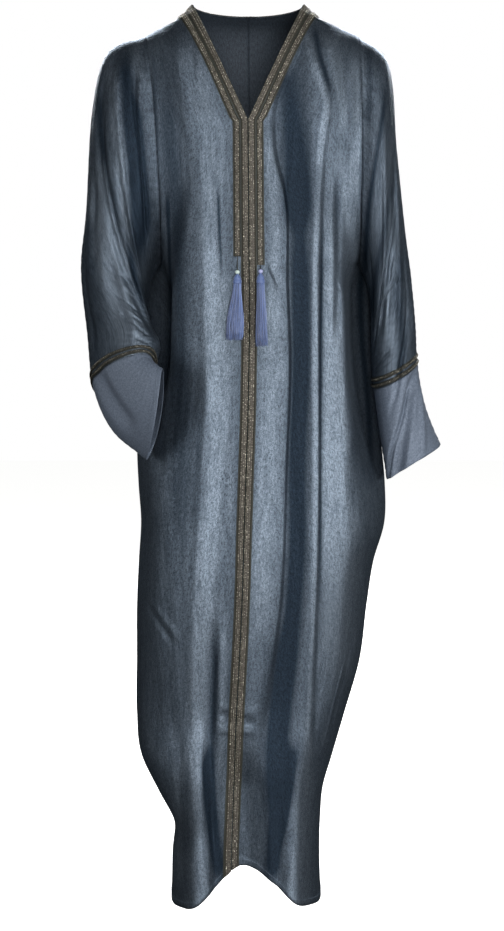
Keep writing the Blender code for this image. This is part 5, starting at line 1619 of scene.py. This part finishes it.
def head_shape(spec):
    """Heights and radii of a bound head: a round crown, a waist, and ridges where the thread winds."""
    share = np.linspace(0, 1, HEAD_STEPS)
    crown = np.sin(np.pi * np.clip(share * HEAD_CROWN[0] + HEAD_CROWN[1], 0, 0.5))
    place, reach, depth = HEAD_WAIST
    waist = 1 - depth * bump((share - place) / reach)
    ridges = BINDING_HEIGHT * np.abs(np.sin(np.pi * share * BINDING_TURNS)) * (share < BINDING_END)
    z = spec.head_z - HEAD_TOP - (ROOT_DEPTH + HEAD_LAP - HEAD_TOP) * share
    return z, HEAD_RADIUS * crown * waist + ridges


def strand_tones(rng):
    """A shade for each strand: partly its own, partly by how far it faces the light."""
    lit = 0.5 + 0.5 * np.cos(np.arange(STRANDS) * SPIRAL_TURN - TASSEL_LIT_TURN)
    return np.clip(STRAND_OWN_TONE * rng.random(STRANDS) + STRAND_LIT_TONE * lit - STRAND_DARKER, 0, 1)


def add_tassel(side, word, trim):
    """A tassel: a twisted cord, a bead, a head bound with thread and the strands of its skirt. It hangs
    from the middle of the outer braid's lower end."""
    spec = TASSELS[side]
    seat = front_braid_base(side, "outer")[0].mean(axis=0)
    x, cord_y = seat[0], seat[1] - BRAID_LIFT - BRAID_THICK / 2 - CORD_CLEAR
    middle_y = cord_y - HEAD_RADIUS - HEAD_CLEAR
    rng = np.random.default_rng(TASSEL_DRAWS + side)
    cord_z = np.linspace(spec.top_z, spec.head_z - ROOT_DEPTH, CORD_STEPS)
    cord_push = (HEAD_RADIUS + HEAD_CLEAR) * ease((spec.top_z - cord_z) / CORD_DRIFT)
    bead_z, bead_radii = bead_shape(spec)
    head_z, head_radii = head_shape(spec)
    strands = strand_paths(spec, x, middle_y, rng)
    taper = STRAND_RADIUS * np.linspace(1, STRAND_TAPER, STRAND_STEPS)
    cord, thread = shared(cord_material, trim), shared(thread_material, trim)
    bead = bead_material(f"glazed_bead_{word}", trim.bead_left if side > 0 else trim.bead_right)
    parts = (
        ("cord", [upright(x, cord_y - cord_push, cord_z)], CORD_RADIUS, cord, [0.5], ()),
        ("bead", [upright(x, middle_y, bead_z)], bead_radii, bead, [0.5], ()),
        ("head", [upright(x, middle_y, head_z)], head_radii, thread, [HEAD_TONE], ()),
        ("skirt", strands, taper, thread, strand_tones(rng), [f"tassel_{word}"]),
    )
    for part, paths, radii, material, tones, nodes in parts:
        sides = TASSEL_SIDES[part]
        made = add_tubes(f"tassel_{part}_{word}", paths, radii, FRONT, sides, material, tones)
        place_piece(made, "tassel_thread", *nodes)


def colour_property(name, description, code):
    """A colour setting whose default is an sRGB hex value."""
    return FloatVectorProperty(
        name=name, description=description, subtype="COLOR", size=3, min=0, max=1, default=hex_colour(code)
    )


def share_property(name, description, default):
    """A setting from 0 to 1."""
    limits = {"min": 0, "max": 1, "subtype": "FACTOR"}
    return FloatProperty(name=name, description=description, default=default, **limits)


def power_property(name, description, default):
    """A setting for a light's power in watts."""
    return FloatProperty(name=name, description=description, default=default, min=0, unit="POWER")


class AbayaCloth(PropertyGroup):
    """Sizes and colours of the cloth"""

    thickness: FloatProperty(
        name="Cloth thickness",
        description="Wall of the satin and of the cuffs",
        default=CLOTH_SHOWN,
        min=0.0002,
        max=0.003,
        precision=4,
        unit="LENGTH",
    )
    satin_roughness: share_property("Satin roughness", "How far the satin spreads a highlight", 0.44)
    satin_metal: share_property("Metallic yarn", "Share of metallic yarn in the satin", 0.65)
    satin_dark: colour_property("Satin, dark yarn", "Colour between the floats of the satin", "#2e3841")
    satin_light: colour_property("Satin, light yarn", "Colour of the floats of the satin", "#525f6d")
    reverse_dark: colour_property("Reverse, dark yarn", "Dark colour of the satin's wrong side", "#1f262e")
    reverse_light: colour_property("Reverse, light yarn", "Light colour of the wrong side", "#39434e")
    cuff_dark: colour_property("Cuff, dark yarn", "Dark colour of the cuffs", "#424c59")
    cuff_light: colour_property("Cuff, light yarn", "Light colour of the cuffs", "#656f7e")


class AbayaTrim(PropertyGroup):
    """Colours of the braid and the tassels"""

    ground_dark: colour_property("Ground, dark", "Dark thread of the braid's ground", "#12140f")
    ground_light: colour_property("Ground, light", "Light thread of the braid's ground", "#2c2d25")
    core_dark: colour_property("Core, dark", "Dark thread of the braid's core", "#1c1a16")
    core_light: colour_property("Core, light", "Light thread of the braid's core", "#544e46")
    cuff_core_light: colour_property("Cuff core, light", "Light thread of the cuff braid's core", "#33312d")
    cord_dark: colour_property("Cord, dark", "Dark side of the twisted cord", "#171811")
    cord_light: colour_property("Cord, light", "Light side of the twisted cord", "#3d3b2e")
    stone_dark: colour_property("Studs, dark", "Darkest studs", "#47443c")
    stone_light: colour_property("Studs, light", "Brightest studs", "#cbc7b6")
    thread_dark: colour_property("Tassel, dark", "Darkest strands of the tassels", "#1c2a4a")
    thread_light: colour_property("Tassel, light", "Palest strands of the tassels", "#6c84ba")
    bead_left: colour_property("Left bead", "Bead above the left tassel", "#8d91b3")
    bead_right: colour_property("Right bead", "Bead above the right tassel", "#a3b2ac")


class AbayaStage(PropertyGroup):
    """Light and floor"""

    key_power: power_property("Key light", "Power of the main soft box", 84.0)
    fill_power: power_property("Fill light", "Power of the second soft box in front", 85.0)
    low_fill_power: power_property("Low fill light", "Power of the weaker soft box on the other side", 45.0)
    top_power: power_property("Top light", "Power of the light above the front", 50.0)
    side_power: power_property("Side lights", "Power of each light at the sides", 10.0)
    back_power: power_property("Back lights", "Power of each light behind", 85.0)
    floor_colour: colour_property("Floor", "Colour of the floor", "#fbfbfa")


class AddFronts(Operator):
    """Adds both front panels with their folds, seams and hems"""

    bl_idname = "abaya.fronts"
    bl_label = "Fronts"

    def execute(self, context):
        look = context.scene.abaya_cloth
        materials = [shared(satin_material, look), shared(reverse_material, look)]
        for side, word in SIDES:
            grid = finished_front(side)
            # Painted highlight and painted shade: bands of paler and darker satin for the light and shade on
            # the folds
            tones = painted_light_tone(FRONT_PAINTED_LIGHT[side], grid[..., 0], grid[..., 2])
            lay_cloth(f"front_{word}", grid, False, side, materials, tones=tones)
            add_hem_stitches(f"hem_stitches_front_{word}", grid, False, side, 0, look)
        return {"FINISHED"}


class AddBack(Operator):
    """Adds both back panels, which meet in the centre seam"""

    bl_idname = "abaya.back"
    bl_label = "Back"

    def execute(self, context):
        look = context.scene.abaya_cloth
        materials = [shared(satin_material, look), shared(reverse_material, look)]
        grid = finished_back()
        middle = grid.shape[1] // 2
        for word, half in (("right", grid[:, : middle + 1]), ("left", grid[:, middle:])):
            # Painted highlight on the folds' crests and painted shade in their troughs, by how far each lifts
            # or sinks the cloth
            lift = fold_height(BACK_FOLDS + BACK_DETAIL, half[..., 0], half[..., 2])
            tones = np.clip(0.5 + 0.5 * lift / BACK_PAINTED_LIGHT_LIFT, 0, 1)
            lay_cloth(f"back_{word}", half, False, -1, materials, tones=tones)
        add_hem_stitches("hem_stitches_back", grid, False, -1, 0, look)
        return {"FINISHED"}


class AddSleeves(Operator):
    """Adds both sleeves, crinkled crosswise"""

    bl_idname = "abaya.sleeves"
    bl_label = "Sleeves"

    def execute(self, context):
        look = context.scene.abaya_cloth
        materials = [shared(sleeve_material, look), shared(reverse_material, look)]
        # Painted highlight and painted shade bands, faded out towards the side of each sleeve that faces
        # behind
        face = ramp(np.sin(2 * np.pi * np.arange(SLEEVE_TURNS) / SLEEVE_TURNS), SLEEVE_FACE)
        for side, word in SIDES:
            grid = sleeve_cloth(side)
            tones = painted_light_tone(SLEEVE_PAINTED_LIGHT[side], grid[..., 0], grid[..., 2], face)
            lay_cloth(f"sleeve_{word}", grid, True, side, materials, tones=tones)
        return {"FINISHED"}


class AddCuffs(Operator):
    """Adds both matt cuffs with their turned hems"""

    bl_idname = "abaya.cuffs"
    bl_label = "Cuffs"

    def execute(self, context):
        look = context.scene.abaya_cloth
        for side, word in SIDES:
            grid = cuff_cloth(side)
            lay_cloth(f"cuff_{word}", grid, True, side, [shared(cuff_material, look)], "cuff_cloth")
            add_hem_stitches(f"hem_stitches_cuff_{word}", grid, True, side, -1, look)
        return {"FINISHED"}


class AddBraids(Operator):
    """Adds the braid rows down the fronts and round the back of the neck"""

    bl_idname = "abaya.braids"
    bl_label = "Braid on the fronts and neck"

    def execute(self, context):
        trim = context.scene.abaya_trim
        for side, word in SIDES:
            for row, draws in FRONT_BRAID_DRAWS.items():
                base = front_braid_base(side, row)
                name = f"{row}_{word}"
                add_braid(f"trim_{name}", base, side, f"braid_{name}", trim, draws + side, FRONT_BRAID)
        for number in (1, 2):
            base = neck_braid_base(number)
            draws = NECK_BRAID_DRAWS + number
            add_braid(f"trim_neck_{number}", base, -1, f"braid_back_{number}", trim, draws, FRONT_BRAID)
        return {"FINISHED"}


class AddCuffBraids(Operator):
    """Adds the two finer braid rows above each cuff seam"""

    bl_idname = "abaya.cuff_braids"
    bl_label = "Braid above the cuffs"

    def execute(self, context):
        trim = context.scene.abaya_trim
        for side, word in SIDES:
            for number in (1, 2):
                base = cuff_braid_base(side, number - 1)
                name = f"cuff_braid_{word}_{number}"
                add_braid(f"trim_{name}", base, -side, name, trim, CUFF_BRAID_DRAWS + number, CUFF_BRAID)
        return {"FINISHED"}


class AddTassels(Operator):
    """Adds both tassels below the outer braid rows"""

    bl_idname = "abaya.tassels"
    bl_label = "Tassels"

    def execute(self, context):
        for side, word in SIDES:
            add_tassel(side, word, context.scene.abaya_trim)
        return {"FINISHED"}


def turn_to(made, place, aim):
    """Places a light or a camera, facing a point."""
    made.location = place
    made.rotation_euler = (Vector(aim) - Vector(place)).to_track_quat("-Z", "Y").to_euler()


def add_light(lamp, power):
    """A soft box that faces a point."""
    data = bpy.data.lights.new(lamp.name, "AREA")
    data.shape = "RECTANGLE"
    data.size = lamp.width
    data.size_y = lamp.height
    data.energy = power
    made = bpy.data.objects.new(lamp.name, data)
    bpy.context.scene.collection.objects.link(made)
    turn_to(made, lamp.place, (0.0, 0.0, lamp.aim_z))


def add_floor(colour):
    """A matt paper floor under the hem, which glows so that it stays white and casts no colour."""
    x, y = np.array([(-1, -1), (1, -1), (1, 1), (-1, 1)]).T * FLOOR_SIZE / 2
    finish = {"Base Color": (*colour, 1), "Roughness": 0.9}
    finish.update({"Emission Color": (*colour, 1), "Emission Strength": FLOOR_GLOW})
    material = new_material("matt_paper_floor", finish)[0]
    corners = np.stack([x, y, np.full(4, HEM_Z - FLOOR_DROP)], axis=-1)
    floor = new_mesh("floor", corners, [(0, 1, 2, 3)], [material])
    floor.visible_diffuse = False
    floor.visible_glossy = False


def add_surroundings():
    """A white world that only the camera sees."""
    world = bpy.data.worlds.new("white_surroundings")
    world.use_nodes = True
    world.node_tree.nodes["Background"].inputs["Color"].default_value = (1, 1, 1, 1)
    for ray in ("diffuse", "glossy", "transmission", "scatter"):
        setattr(world.cycles_visibility, ray, False)
    bpy.context.scene.world = world


def add_camera():
    """The camera in front of the garment."""
    data = bpy.data.cameras.new("camera")
    data.sensor_fit = "VERTICAL"
    data.sensor_height = SENSOR_HEIGHT
    data.lens = CAMERA_LENS
    camera = bpy.data.objects.new("camera", data)
    bpy.context.scene.collection.objects.link(camera)
    turn_to(camera, CAMERA_PLACE, CAMERA_AIM)
    bpy.context.scene.camera = camera


class AddStage(Operator):
    """Adds the floor, the lights, the white surroundings and the camera"""

    bl_idname = "abaya.stage"
    bl_label = "Stage"

    def execute(self, context):
        stage = context.scene.abaya_stage
        add_floor(stage.floor_colour)
        for lamp in LAMPS:
            add_light(lamp, getattr(stage, f"{lamp.kind}_power"))
        add_surroundings()
        add_camera()
        context.scene.view_settings.view_transform = "Standard"
        return {"FINISHED"}


class AbayaPanel(Panel):
    """Lists the garment's pieces and settings"""

    bl_idname = "VIEW3D_PT_abaya"
    bl_label = "Abaya"
    bl_space_type = "VIEW_3D"
    bl_region_type = "UI"
    bl_category = "Abaya"

    def draw(self, context):
        for operator in OPERATORS:
            self.layout.operator(operator.bl_idname)
        for setting in SETTINGS:
            group = getattr(context.scene, setting)
            column = self.layout.column()
            for name in group.bl_rna.properties.keys():
                if name not in ("rna_type", "name"):
                    column.prop(group, name)


GROUPS = (AbayaCloth, AbayaTrim, AbayaStage)
SETTINGS = ("abaya_cloth", "abaya_trim", "abaya_stage")
OPERATORS = (AddStage, AddFronts, AddBack, AddSleeves, AddCuffs, AddBraids, AddCuffBraids, AddTassels)


def register():
    for item in (*GROUPS, *OPERATORS, AbayaPanel):
        bpy.utils.register_class(item)
    for name, group in zip(SETTINGS, GROUPS):
        setattr(bpy.types.Scene, name, PointerProperty(type=group))


def unregister():
    for name in reversed(SETTINGS):
        delattr(bpy.types.Scene, name)
    for item in (AbayaPanel, *reversed(OPERATORS), *reversed(GROUPS)):
        bpy.utils.unregister_class(item)


def main():
    register()
    bpy.ops.abaya.stage()
    bpy.ops.abaya.fronts()
    bpy.ops.abaya.back()
    bpy.ops.abaya.sleeves()
    bpy.ops.abaya.cuffs()
    bpy.ops.abaya.braids()
    bpy.ops.abaya.cuff_braids()
    bpy.ops.abaya.tassels()


if __name__ == "__main__":
    main()
